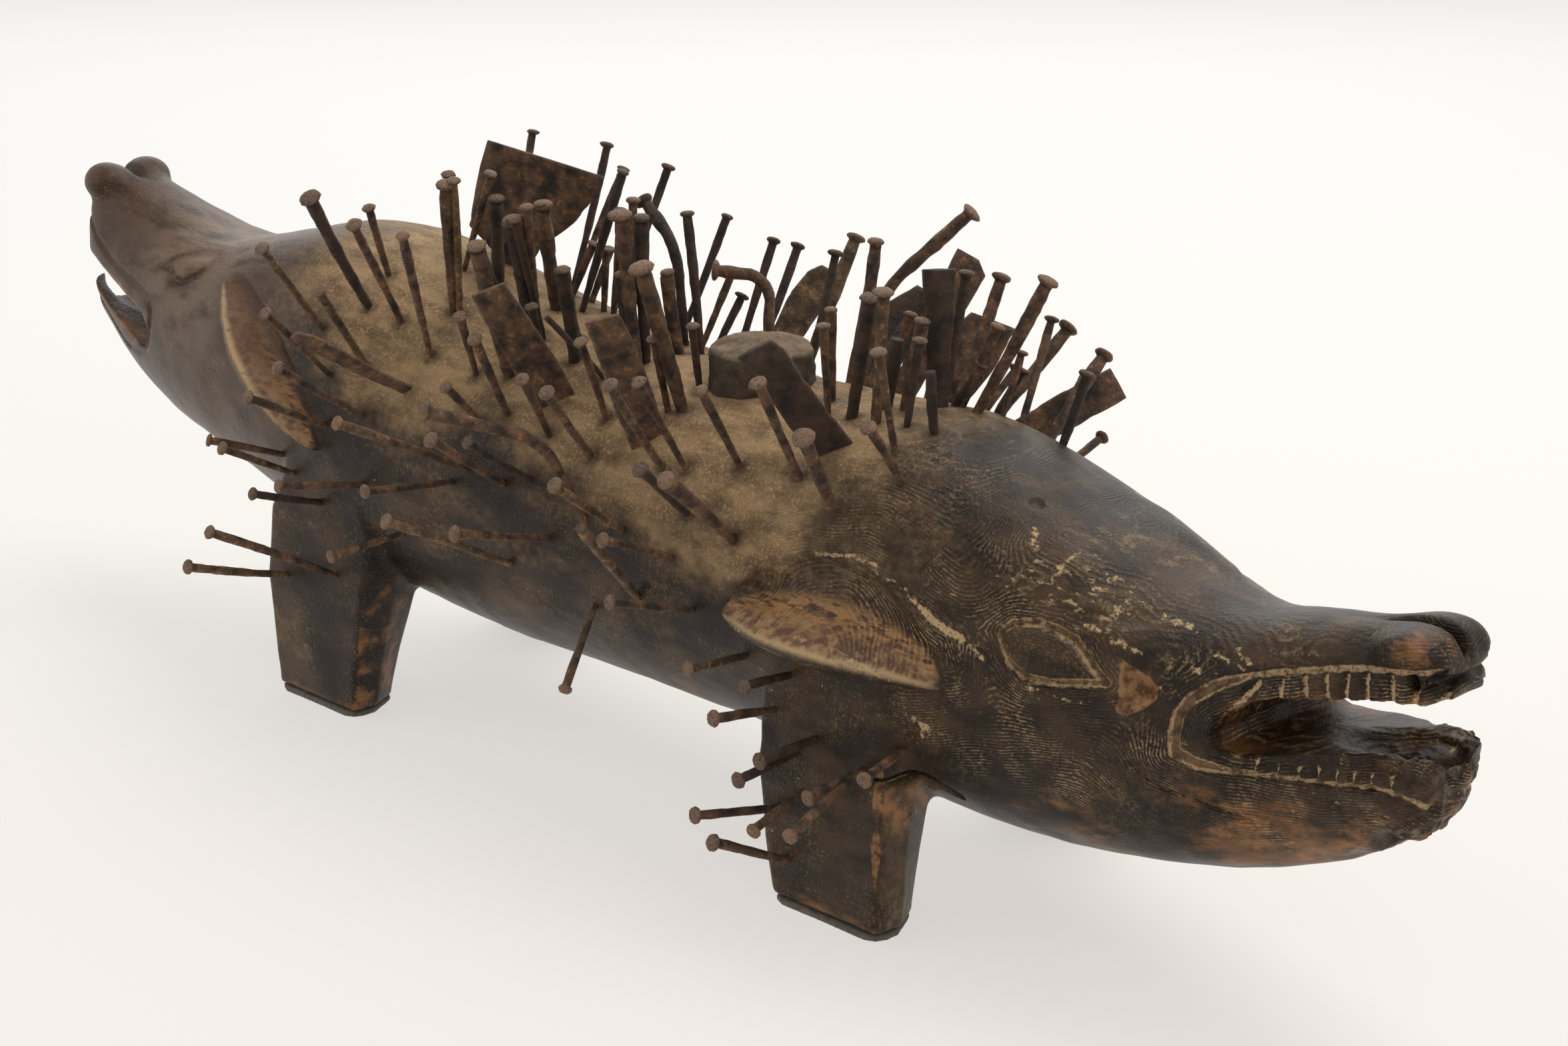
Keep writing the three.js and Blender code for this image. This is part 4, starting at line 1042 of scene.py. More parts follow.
# Satin where handled, dull where crusted, scratched or chipped.
dull = maths(tree, "MAXIMUM", maths(tree, "MAXIMUM", crust, pale_marks_and_highlights), chipped)
gloss = plus(tree, times(tree, specks, 0.16), times(tree, held, 0.5))
roughness = plus(tree, gloss, times(tree, dull, 0.38))
fit(tree, surface.inputs["Roughness"], plus(tree, roughness, 0.25, clamp=True))
surface.inputs["Specular IOR Level"].default_value = 0.18
relief = times(tree, wave, times(tree, noted(tree, "lined"), worked))
relief = times(tree, relief, 0.65)
relief = plus(tree, relief, times(tree, specks, 1.6))
relief = plus(tree, relief, times(tree, streaks, 2.4))
relief = plus(tree, relief, times(tree, times(tree, flecks, crust), 4.0))
relief = minus(tree, relief, times(tree, split, 2.0))
raised(tree, surface, relief, 0.6, 0.0005)

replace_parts(piece_of("carved_block", carved, oiled_wood), "carved_figure")


# Nails and spikes: iron forged by hand and hammered into the wood after the
# carving was done. It has rusted to a dark brown skin with an orange bloom, and
# the struck heads are worn greyer.
IRON_BLACK = (0.022, 0.014, 0.010)
IRON_BROWN = (0.135, 0.071, 0.038)
RUST_ORANGE = (0.36, 0.170, 0.066)
IRON_GREY = (0.26, 0.165, 0.108)
SOOT_BLACK = (0.015, 0.010, 0.007)
SOOT_BROWN = (0.065, 0.035, 0.020)
DULL_RUST = (0.17, 0.075, 0.030)
EARTH_BROWN = (0.045, 0.026, 0.015)
DRY_BROWN = (0.15, 0.085, 0.042)
SANDY_RUST = (0.36, 0.21, 0.095)


def iron_finish(name, dark, mid, bloom, bloom_from, worn):
    """One kind of rusty iron, with its bloom and its worn heads."""
    material, tree, surface = shader(name)
    patches = mottle(tree, 8, 5)
    grit = mottle(tree, 1.1, 4)
    scale = mottle(tree, 2.6, 5, rough=0.75)
    colour = layered(tree, between(tree, patches, 0.32, 0.62), dark, mid)
    rust = between(tree, plus(tree, scale, times(tree, patches, 0.5)),
                   bloom_from, bloom_from + 0.22)
    colour = layered(tree, rust, colour, bloom)
    polished = times(tree, noted(tree, "head"), between(tree, grit, 0.3, 0.62))
    colour = layered(tree, times(tree, polished, worn), colour, IRON_GREY)
    fit(tree, surface.inputs["Base Color"], colour)
    surface.inputs["Metallic"].default_value = 0.25
    fit(tree, surface.inputs["Roughness"], plus(tree, times(tree, grit, 0.3), 0.5))
    raised(tree, surface, plus(tree, grit, times(tree, scale, 2.4)), 0.9, 0.0008)
    return material


rusty_brown = iron_finish("rusty_iron_brown", IRON_BLACK, IRON_BROWN, RUST_ORANGE, 0.78, 0.8)
rusty_dark = iron_finish("rusty_iron_dark", SOOT_BLACK, SOOT_BROWN, DULL_RUST, 0.86, 0.6)
rusty_sandy = iron_finish("rusty_iron_sandy", EARTH_BROWN, DRY_BROWN, SANDY_RUST, 0.76, 0.7)
IRON_FINISHES = [rusty_brown, rusty_brown, rusty_dark, rusty_brown, rusty_sandy]

# A shank is drawn out square or round under the hammer, a little crooked, and
# its head is spread. The gauges are the widths of shank and head and the
# thickness of the head.
SEAT_DEPTH = 9.0
NAIL = {"shank": 3.9, "head": 7.6, "cap": 3.2}
SPIKE = {"shank": 5.4, "head": 9.8, "cap": 3.8}
PEG = {"shank": 4.4, "head": 0.0, "cap": 3.0}
GAUGES = {
    "spike_02": {"shank": 6.2, "head": 8.6, "cap": 3.4},
    "spike_03": {"shank": 3.8, "head": 7.6, "cap": 3.0},
    "spike_04": {"shank": 7.2, "head": 11.5, "cap": 4.0},
    "spike_06": {"shank": 4.9, "head": 9.6, "cap": 3.0},
    "spike_08": {"shank": 5.8, "head": 10.2, "cap": 3.6},
    "spike_09": {"shank": 3.9, "head": 7.0, "cap": 2.8},
    "spike_13": {"shank": 4.3, "head": 7.2, "cap": 3.0},
    "leg_spike_01": {"shank": 4.0, "head": 7.0, "cap": 2.6},
}
SHANK_SIDES = 12
RING_PITCH = 2.8
BEND_REACH = 9.0
HAMMERED = 0.06
# A spread head from its underside up: how far below the top as a share of the
# cap, how wide as a share of the head, and how polished.
HEAD_RINGS = ((0.86, 0.66, 0.1), (0.62, 0.94, 0.5), (0.40, 1.0, 0.8),
              (0.18, 0.86, 1.0), (0.04, 0.55, 1.0), (0.0, 0.25, 1.0))
luck = np.random.default_rng(23)


def heading(lean, tilt):
    """Direction of an iron that leans towards the near head and tilts outwards."""
    upright = math.cos(math.radians(lean))
    return np.array([math.sin(math.radians(lean)), -upright * math.sin(math.radians(tilt)),
                     upright * math.cos(math.radians(tilt))])


def unit(v):
    return v / np.linalg.norm(v)


def tube(rings):
    """Points and faces of rings joined side to side, closed at both ends."""
    sides = len(rings[0])
    points = np.concatenate(rings)
    faces = []
    for r in range(len(rings) - 1):
        for i in range(sides):
            j = (i + 1) % sides
            faces.append((r * sides + i, r * sides + j, (r + 1) * sides + j, (r + 1) * sides + i))
    middle_low = len(points)
    points = np.concatenate([points, [rings[0].mean(0)], [rings[-1].mean(0)]])
    last = (len(rings) - 1) * sides
    caps = []
    for i in range(sides):
        j = (i + 1) % sides
        caps.append((middle_low, j, i))
        caps.append((middle_low + 1, last + i, last + j))
    return points, faces, caps


def close_mesh(name, points, faces, caps, marks):
    mesh = bpy.data.meshes.new(name)
    mesh.from_pydata(((points + OFFSET) / 1000).tolist(), [], faces + caps)
    mesh.polygons.foreach_set("use_smooth", np.ones(len(mesh.polygons), dtype=bool))
    for key, values in marks.items():
        note(mesh, key, np.asarray(values, dtype=float))
    mesh.update()
    return mesh


def smoothed(path, reach):
    """Points along a path, its corners rounded over a reach, and its length."""
    marks = np.cumsum([0] + [np.linalg.norm(b - a) for a, b in zip(path, path[1:])])
    whole = marks[-1]
    smooth = []
    for t in np.linspace(0, whole, max(9, int(whole / RING_PITCH))):
        samples = [t]
        if reach and 0 < t < whole:
            samples = [max(0, t - reach), t, min(whole, t + reach)]
        at = [[np.interp(s, marks, [k[a] for k in path]) for a in range(3)] for s in samples]
        smooth.append(np.mean(at, 0))
    smooth[-1] = path[-1]
    return smooth, whole


def hammered_ring(centre, way, radius, squared, spin, rough):
    """One ring round a shank, part square and part round, with dents."""
    angles = np.linspace(0, 2 * math.pi, SHANK_SIDES, endpoint=False)
    square = 1 / np.maximum(np.abs(np.cos(angles)), np.abs(np.sin(angles)))
    form = (1 - squared) + squared * np.minimum(square, 1.25)
    side = unit(np.cross((0, 1, 0), way))
    up = np.cross(way, side)
    r = radius * form * (1 + rough * luck.uniform(-1, 1, SHANK_SIDES))
    return centre + np.outer(np.cos(angles + spin) * r, side) + np.outer(np.sin(angles + spin) * r, up)


def forged(name, base, stretches, gauge):
    """A hammered nail along one or more stretches of length, lean and tilt."""
    ways = [heading(lean, tilt) for _, lean, tilt in stretches]
    path = [base - ways[0] * SEAT_DEPTH, base.copy()]
    for way, (length, _, _) in zip(ways, stretches):
        path.append(path[-1] + way * length)
    smooth, whole = smoothed(path, BEND_REACH if len(stretches) > 1 else 0.0)
    bend = unit(np.cross(ways[0], luck.normal(size=3))) * luck.uniform(-0.9, 0.9)
    foot = luck.uniform(0.68, 0.86)
    pitted = luck.uniform(0, 300)
    squared = luck.uniform(0.0, 0.25 if gauge is NAIL else 0.35)
    spin = luck.uniform(0, math.pi)
    rings, polish = [], []
    way = ways[0]
    last = len(smooth) - 1
    for i, centre in enumerate(smooth):
        t = i / last
        if 0 < i < last:
            way = unit(smooth[i + 1] - smooth[i - 1])
        elif i:
            way = ways[-1]
        crooked = centre + bend * math.sin(math.pi * t) * min(1.0, whole / 60)
        swell = np.interp(t, (0.0, 0.15, 0.5, 0.85, 1.0), (0.6, foot, 0.95, 1.08, 0.98))
        drawn = gauge["shank"] / 2 * (swell + 0.10 * float(grain(t * whole, pitted, 0, 7)))
        if gauge["head"] and i == last:
            crooked = centre - way * gauge["cap"] * 0.9
        rings.append(hammered_ring(crooked, way, drawn, squared, spin, HAMMERED))
        polish.append(0.0)
    if gauge["head"]:
        lopsided = unit(np.cross(way, luck.normal(size=3))) * gauge["head"] * luck.uniform(0, 0.06)
        flare = luck.uniform(0.88, 1.04)
        for below, wide, shine in HEAD_RINGS:
            centre = path[-1] - way * gauge["cap"] * below + lopsided * wide
            radius = gauge["head"] / 2 * wide * flare
            rings.append(hammered_ring(centre, way, radius, squared, spin, HAMMERED))
            polish.append(shine)
    else:
        rings.append(hammered_ring(path[-1], way, gauge["shank"] / 2 * 0.75, squared, spin, 0.1))
        polish.append(0.0)
    points, faces, caps = tube(rings)
    head = np.repeat(polish, SHANK_SIDES).tolist() + [0.0, polish[-1]]
    return close_mesh(name, points, faces, caps, {"head": head})


# Place along the body, turn from the crest towards the near flank, exposed
# length, lean towards the near head and tilt outwards.
NAILS = [
    (15.5, 53, 60, 8, 39), (33, 44, 57, 6, 32), (21, 66, 45, 9, 49), (12.5, 78, 54, 6, 54),
    (5.5, 56, 50, 9, 41), (-8.5, 52, 58, 18, 36), (-6, 76, 54, 4, 55), (-12.5, 17, 64, 5, 18),
    (-29, 39, 69, 13, 34), (-39.5, 56, 64, 10, 40), (-31, 59, 60, 15, 39), (-29.5, 75, 60, 3, 56),
    (-36, 85, 49, -2, 62), (-12, 76, 78, -2, 63), (-5, 100, 75, -3, 62), (1.5, 88, 54, -2, 75),
    (0.5, -33, 59, -2, -27), (3, -34, 60, -1, -30), (14, -22, 57, -2, -21),
    (-27.5, -38, 74, 0, -20), (-18, -29, 74, 6, -24),
]
SPIKES = [
    (39, 53, 59, 17, 39), (28, 70, 59, 6, 50), (-26, 19, 68, 14, 13), (12.5, 28, 74, 3, 21),
    (32, 13, 57, 13, 3), (35.5, 14, 61, 10, 7), (40, -13, 65, 21, -16), (-34.5, 40, 75, 10, 34),
    (-22.5, 45, 78, 18, 26), (36.5, -37, 54, 10, -47), (42, -46, 51, 1, -48), (34, -25, 60, 0, -29),
    (2, -9, 65, -7, 0), (10.5, -33, 69, 2, -28),
]
# On the legs: place along, height in hundredths of the belly's clearance, then
# the same. A bent spike has two stretches of length, lean and tilt.
LEG_NAILS = [(-34.5, 141, 80, -1, 61), (-43.5, 125, 60, -1, 73), (40.5, 157, 35, 3, 88)]
LEG_SPIKES = [(46.5, 145, 57, 14, 97)]
BENT_SPIKES = [
    (7, 79, [(42, -14, 21), (53, -37, 70)]), (21, -24, [(44, -4, -24), (54, 36, -32)]),
    (-2, -14, [(46, -5, 2), (30, -52, -5)]), (7, -26, [(40, -10, -15), (28, -45, 80)]),
]
HEADLESS_SPIKE = (15, 96, 68, 14, 45)
DARK_IRON = {"spike_05", "nail_20", "nail_21", "nail_17", "nail_18", "nail_19", "spike_13"}
SANDY_IRON = {"nail_01", "nail_04", "spike_06", "nail_13", "nail_14", "spike_14", "leg_nail_02"}


def finish_for(node, turn):
    """The finish of one iron; the rest take turns."""
    if node in DARK_IRON:
        return rusty_dark
    if node in SANDY_IRON:
        return rusty_sandy
    return IRON_FINISHES[turn % len(IRON_FINISHES)]


feet = []


def drive(node, base, stretches, gauge, turn):
    """Puts a forged iron where the part has its plain one."""
    mesh = forged(node + "_forged", base, stretches, GAUGES.get(node, gauge))
    piece = piece_of("forged_" + node, mesh, finish_for(node, turn))
    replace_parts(piece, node)
    feet.append(base)


def base_on_leg(along, up):
    """Where an iron enters the outer face of a leg on the near side."""
    x = along_at(along)
    bow = SIDEWAYS_BOW * max(0, 1 - (x / HALF_LENGTH) ** 2)
    return np.array([x, bow - STANCE_HALF, up / 100 * BELLY_CLEARANCE])


for kind, gauge, rows in (("nail", NAIL, NAILS), ("spike", SPIKE, SPIKES)):
    for i, (along, turn, length, lean, tilt) in enumerate(rows):
        node = f"{kind}_{i + 1:02d}"
        drive(node, skin_point(along_at(along), turn), [(length, lean, tilt)], gauge, i)
for kind, gauge, rows in (("leg_nail", NAIL, LEG_NAILS), ("leg_spike", SPIKE, LEG_SPIKES)):
    for i, (along, up, length, lean, tilt) in enumerate(rows):
        node = f"{kind}_{i + 1:02d}"
        drive(node, base_on_leg(along, up), [(length, lean, tilt)], gauge, i)
for i, (along, turn, stretches) in enumerate(BENT_SPIKES):
    node = f"bent_spike_{i + 1:02d}"
    drive(node, skin_point(along_at(along), turn), stretches, SPIKE, i)
headless_base = skin_point(along_at(HEADLESS_SPIKE[0]), HEADLESS_SPIKE[1])
drive("headless_spike", headless_base, [HEADLESS_SPIKE[2:]], PEG, 4)

# The irons that stand between those: thinner nails, thick ones of every size,
# and six nails in the sides of the legs. Same iron, same hammer, same marks.
THIN_NAIL = {"shank": 3.5, "head": 6.8, "cap": 2.8}
THIN_NAILS = [
    (18.5, 51, 55, 4, 34), (25, 45, 48, 5, 34), (44, 35, 37, 4, 38), (41, 25, 50, 6, 19),
    (39, 12, 39, 8, -2), (4.5, 41, 49, 12, 29), (20, 82, 44, 0, 65), (23, 94, 47, -4, 72),
    (8, 104, 48, 24, 125), (-2, 71, 47, 4, 56), (-1.5, 54, 45, 17, 37), (-15.5, 43, 40, 18, 29),
    (-11.5, 59, 34, 9, 46), (-23.5, 25, 73, 14, 12), (-27, 0, 42, 11, 7), (-18.5, 16, 45, 6, 26),
    (-9.5, 9, 36, 0, 16), (11, 30, 39, 8, 20), (1, -4, 39, -8, 5), (11.5, 16, 32, 4, 12),
    (28.5, 12, 39, -1, 4), (-35.5, 25, 40, 8, 22), (-36, 69, 58, 8, 46), (-43.5, 109, 50, 0, 62),
    (-38, 112, 46, 0, 72), (-29.5, 95, 47, -5, 79), (-14, 82, 51, 0, 83), (-23.5, 106, 40, -6, 95),
    (30, 103, 32, -3, 86), (36.5, 103, 28, -2, 85), (49.5, 115, 45, 20, 85), (41.5, -31, 48, -4, -28),
    (39.5, -67, 40, 0, -71), (29, -29, 59, -4, -30), (31, -36, 44, 3, -41), (28.5, -41, 29, 8, -53),
    (33, -43, 32, 3, -51), (41.5, -49, 41, -5, -47), (18, -29, 67, -6, -23), (-3, -33, 30, 5, -33),
    (18.5, -36, 42, 4, -42), (-35.5, -31, 64, -6, -19), (-23, -24, 64, 10, -22),
    (-12, -10, 54, 5, -2), (-9, -10, 53, 4, -2), (-18, -17, 29, 14, -15), (-20, -14, 29, 19, -13),
    (-30, 5, 55, 23, -1), (-16.5, 0, 56, 3, 13),
]
# Heavier irons standing among them: the same, then thickness and head.
HEAVY_IRONS = [
    (-11.5, 37, 77, 13, 25, 7.4, 9.5), (-14, 17, 62, 8, 17, 6.6, 10.5), (-13.5, 15, 68, 11, 15, 4.2, 6.5),
    (-11, 22, 24, 6, 18, 3.8, 6.5), (-17, 0, 55, 5, 12, 6.8, 10), (-6, 21, 48, 7, 14, 6.4, 7.5),
    (1, 13, 74, 2, 8, 6.6, 11), (1, 9, 70, 4, 5, 6.0, 8.5), (1, -3, 39, -6, 5, 6.4, 7),
    (-15.5, -6, 71, 14, -10, 4.0, 6.5), (-15, -14, 31, 4, -1, 3.4, 6), (0, 12, 44, 0, 8, 6.4, 8),
    (-7.5, -4, 64, 3, -2, 3.8, 7), (-25.5, 2, 45, 9, 8, 6.2, 8), (-24.5, 24, 72, 16, 16, 5.2, 9.5),
    (-0.5, 24, 44, -5, 42, 2.6, 0), (24.5, -11, 66, 1, -8, 4.8, 8), (42, 10, 27, 1, 8, 4.4, 0),
    (26, 3, 41, 2, 3, 4.4, 6.5), (37, -8, 58, 2, -11, 4.4, 7), (38, -13, 39, 16, -16, 4.2, 7),
    (37.5, -11, 22, 22, -24, 3.4, 5.5), (40.5, -24, 29, 3, -21, 3.0, 5.5),
    (38.5, -29, 23, 14, -30, 3.4, 6), (30, -5, 39, 9, -15, 3.8, 6), (33, 2, 30, 7, -5, 5.8, 0),
    (35.5, 2, 41, 10, -4, 5.8, 7), (-7, -28, 62, 8, -22, 3.8, 6.5), (-2.5, -24, 35, 9, -23, 3.4, 0),
    (47.5, -29, 32, 7, -20, 4.2, 7), (-46, 104, 38, -34, 72, 3.6, 6.8),
]
HEAVY_FINISHES = [rusty_brown, rusty_dark, rusty_brown, rusty_dark]
# In the sides of the legs: place in millimetres, length, lean, tilt.
LOW_NAILS = [
    (149, -70, 86, 37, 0, 80), (162, -71, 71, 38, 5, 90), (150, -73, 43, 43, -5, 78),
    (167, -73, 55, 34, 7, 99), (158, -72, 22, 46, -4, 63), (200, -76, 74, 27, -4, 95),
]
for i, (along, turn, length, lean, tilt) in enumerate(THIN_NAILS):
    name = f"thin_nail_{i + 1:02d}"
    base = skin_point(along_at(along), turn)
    mesh = forged(name, base, [(length, lean, tilt)], THIN_NAIL)
    piece_of(name, mesh, IRON_FINISHES[(i * 3) % len(IRON_FINISHES)])
    feet.append(base)
for i, (along, turn, length, lean, tilt, shank, head) in enumerate(HEAVY_IRONS):
    name = f"thick_iron_{i + 1:02d}"
    base = skin_point(along_at(along), turn)
    gauge = {"shank": shank, "head": head, "cap": 0.4 * head + 0.4}
    mesh = forged(name, base, [(length, lean, tilt)], gauge)
    piece_of(name, mesh, HEAVY_FINISHES[i % len(HEAVY_FINISHES)])
    feet.append(base)
for i, (x0, y0, z0, length, lean, tilt) in enumerate(LOW_NAILS):
    name = f"leg_side_nail_{i + 1:02d}"
    mesh = forged(name, np.array([x0, y0, z0], dtype=float), [(length, lean, tilt)], NAIL)
    piece_of(name, mesh, IRON_FINISHES[(i + 1) % len(IRON_FINISHES)])


# The wood is stained nearly black round the foot of every iron, where damp rust
# has soaked into the grain. The stain is noted on the carving itself.
STAIN_REACH = 7.5
STAIN_BLACK = 2.5
carved_places = points_of(carved)
stain = np.zeros(len(carved_places))
for foot in feet:
    near = np.abs(carved_places[:, 0] - foot[0]) < STAIN_REACH + 0.5
    away = np.linalg.norm(carved_places[near] - foot, axis=1)
    stain[near] = np.maximum(stain[near], ease(-away, -STAIN_REACH, -STAIN_BLACK))
note(carved, "stain", stain)


# Blades and plates: scraps of hoop iron and knife blade, driven in edge on,
# with eaten edges and rust in layers. Each row gives the place along the body
# and the turn round it, lean, tilt and twist, 1 for a ridged blade, the tang,
# and the outline: how far up, left edge, right edge and bow.
BLADES = {
    "wide_plate": (-29.5, -14, 13, -12, 45, 0, (-12, 6),
                   [(4, -13, 7, 0), (12, -27, 9, 0), (29, -29, 21, 0),
                    (42, -30, 26, 0), (55, -30, 28, 0)]),
    "leaning_plate_1": (-3.5, 40, -2, 32, 45, 0, (-8, 9),
                        [(20, -10, 10, 0), (45, -9, 9, 0), (66, -8, 8, 0)]),
    "leaning_plate_2": (11.5, 44, 3, 25, 45, 0, (-8, 8),
                        [(20, -9, 9, 0), (45, -8, 9, 0), (65, -8, 7, 0)]),
    "folded_plate": (34.5, 30, -9, 36, 45, 0, (-9, 8),
                     [(20, -10, 7, 0), (40, -9, 7, 0), (53, -8, 8, 0), (58, -11, 5, -3)]),
    "ridged_blade": (37, -6, -3, -2, 45, 1, (-4, 4),
                     [(8, -5, 4, 0), (32, -6, 6, 0), (58, -7, 7, 0)]),
    "short_plate": (30, -36, -5, -36, 40, 0, (-6, 6),
                    [(6, -11, 8, 0), (24, -15, 14, 0), (45, -4, 17, 0)]),
    "crown_blade": (38.5, -46, 21, -66, 55, 0, (-7, 7), [(25, -8, 8, 0), (50, -7, 8, 0)]),
    "tan_blade": (1, -48, 6, -38, 40, 0, (-4, 4),
                  [(12, -6, 6, 0), (40, -9, 8, 0), (54, -7, 8, 0), (60, -3, 5, 0)]),
    "leaf_blade": (13.5, -54, 8, -40, 45, 1, (-4, 4),
                   [(8, -5, 5, 0), (30, -9, 8, 0), (50, -13, 10, 0), (64, -6, 8, 0)]),
    "slant_plate": (21, -46, 5, -36, 45, 0, (-5, 5),
                    [(12, -6, 6, 0), (44, -7, 7, 0), (72, -9, 8, 0), (77, -9, 2, 0)]),
}
# A flat bar that stands among the nails of the near flank.
FLAT_BAR = (-23.5, 60, -5, 58, 40, 0, (-3, 3),
            [(10, -3, 3, 0), (34, -4, 4, 0), (60, -4, 5, 0), (68, -3, 3, 0)])
BLADE_FINISH = {"tan_blade": rusty_sandy, "ridged_blade": rusty_dark, "wide_plate": rusty_brown,
                "folded_plate": rusty_dark, "leaf_blade": rusty_dark}
BLADE_HALF = 1.25
BLADE_RIDGE = 1.5
BLADE_PITCH = 1.6
RUST_PITS = 0.22
EATEN_EDGE = 0.7
BUCKLE = 0.7
ACROSS = 14


def blade(name, row):
    """A hammered plate, thin at its edges, that follows its row's outline."""
    along, turn, lean, tilt, twist, ridge, tang, outline = row
    base = skin_point(along_at(along), turn)
    way = heading(lean, tilt)
    east = unit(np.array([1.0, 0, 0]) - way * way[0])
    north = np.cross(way, east)
    side = east * math.cos(math.radians(twist)) + north * math.sin(math.radians(twist))
    out = np.cross(side, way)
    marks = [(-SEAT_DEPTH, tang[0], tang[1], 0)] + outline
    ups = [mark[0] for mark in marks]
    seed = luck.integers(0, 400)
    ts = np.linspace(0, 1, ACROSS)
    thick = BLADE_HALF * (0.55 + 0.45 * np.sin(math.pi * ts) ** 0.4)
    thick = thick + ridge * BLADE_RIDGE * np.clip(1 - np.abs(ts - 0.5) * 2.4, 0, 1)
    rings = []
    for up in np.linspace(ups[0], ups[-1], int((ups[-1] - ups[0]) / BLADE_PITCH)):
        left, right, push = (np.interp(up, ups, [mark[k] for mark in marks]) for k in (1, 2, 3))
        left = left + max(0.0, EATEN_EDGE * (grain(up, seed, 0, 4) - 0.2))
        right = right - max(0.0, EATEN_EDGE * (grain(up, seed, 40, 4) - 0.2))
        wide = left + (right - left) * ts
        pits = RUST_PITS * grain(wide, up, np.full(ACROSS, float(seed)), 3.0)
        warp = push + BUCKLE * grain(wide, np.full(ACROSS, up), np.full(ACROSS, seed + 9.0), 22)
        middle = base + way * up + np.outer(wide, side)
        front = middle + np.outer(thick + warp + pits, out)
        behind = middle + np.outer(-thick + warp + pits, out)
        rings.append(np.concatenate([front, behind[::-1]]))
    points, faces, caps = tube(rings)
    edge = np.zeros(len(points))
    edge[:-2].reshape(len(rings), -1)[:, [0, ACROSS - 1, ACROSS, 2 * ACROSS - 1]] = 0.5
    return close_mesh(name, points, faces, caps, {"head": edge})


for node, row in BLADES.items():
    finish = BLADE_FINISH.get(node, rusty_brown)
    piece = piece_of("forged_" + node, blade(node + "_forged", row), finish)
    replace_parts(piece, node)
piece_of("flat_bar", blade("flat_bar", FLAT_BAR), rusty_brown)


# The medicine pack: a drum of resin, earth and grave sand pressed onto the back
# while soft, with a crusted, pitted top and darker sides.
PACK_RADIUS = 24.0
PACK_SIDE_HEIGHT = 24.0
PACK_DOME = 5.0
PACK_SINK = 8.0
PACK_TURNS = 120
PACK_PIT = 0.9
pack_x = along_at(PACK_ALONG)
pack_foot = float(section_at(pack_x)[1]) - PACK_SINK


def dome_height(r):
    """Height of the pack's rounded top at a distance from its middle."""
    return PACK_SIDE_HEIGHT + PACK_DOME * (1 - (r / (PACK_RADIUS - 0.5)) ** 2) ** 0.8


pack_profile = [(20.0, 0), (PACK_RADIUS - 0.4, 0.2)]
pack_profile += [(PACK_RADIUS - 0.2, h) for h in np.linspace(1.5, PACK_SIDE_HEIGHT - 3.5, 16)]
pack_profile += [(23.6, 22.0), (23.0, 23.4), (22.0, 24.6), (20.6, 25.6)]
pack_profile += [(r, dome_height(r)) for r in np.linspace(19, 1.2, 16)]
turns = np.linspace(0, 2 * math.pi, PACK_TURNS, endpoint=False)
level = np.zeros(PACK_TURNS)
pack_rings = []
top_mark = []
for r, h in pack_profile:
    px = r * np.cos(turns)
    py = r * np.sin(turns)
    lumps = 2.6 * grain(px, py, level + h, 14) + 1.0 * grain(px, py, level + h, 5)
    lumps = lumps + 0.4 * grain(px, py, level + h, 2.6)
    on_side = ease(level + r, 20, 23)
    scale = 1 - np.abs(lumps) * on_side / max(r, 1.0)
    lift = h - np.abs(lumps) * (1 - on_side) * (h > 1)
    pits = (1 - on_side) * PACK_PIT * (h > 1)
    pits = pits * np.clip(grain(px + 50, py, level, 1.9) - 0.55, 0, 1)
    ring = np.stack([pack_x + px * scale, PACK_ASIDE + py * scale, pack_foot + lift - pits], 1)
    pack_rings.append(ring)
    top_mark += [1.0 if h > PACK_SIDE_HEIGHT - 1 else 0.0] * PACK_TURNS
pack_points, pack_faces, pack_caps = tube(pack_rings)
top_mark += [0.0, 1.0]
pack_mesh = close_mesh("resin_drum", pack_points, pack_faces, pack_caps, {"top": top_mark})

RESIN_BLACK = (0.026, 0.018, 0.012)
RESIN_BROWN = (0.085, 0.055, 0.033)
CRUST_BROWN = (0.085, 0.054, 0.032)
CRUST_TAN = (0.21, 0.145, 0.085)
pressed_resin, tree, surface = shader("pressed_resin_and_earth")
clods = mottle(tree, 7, 6, rough=0.7)
sand_specks = mottle(tree, 1.3, 4)
sides = layered(tree, between(tree, clods, 0.3, 0.7), RESIN_BLACK, RESIN_BROWN)
top = layered(tree, between(tree, clods, 0.3, 0.7), CRUST_BROWN, CRUST_TAN)
colour = layered(tree, noted(tree, "top"), sides, top)
colour = layered(tree, times(tree, between(tree, sand_specks, 0.58, 0.7), 0.22), colour, PALE_EARTH)
fit(tree, surface.inputs["Base Color"], colour)
surface.inputs["Roughness"].default_value = 0.9
raised(tree, surface, plus(tree, clods, sand_specks), 0.8, 0.0008)
pack_piece = piece_of("resin_medicine_pack", pack_mesh, pressed_resin)
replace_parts(pack_piece, "medicine_pack")


# Felt under the feet: four pads of grey pressed felt, cut round a foot with
# scissors and glued on, so that an edge shows all round.
FELT_THICKNESS = 3.0
FELT_OVERHANG = 0.4
FELT_FRAY = 0.35
FELT_STEPS = 160
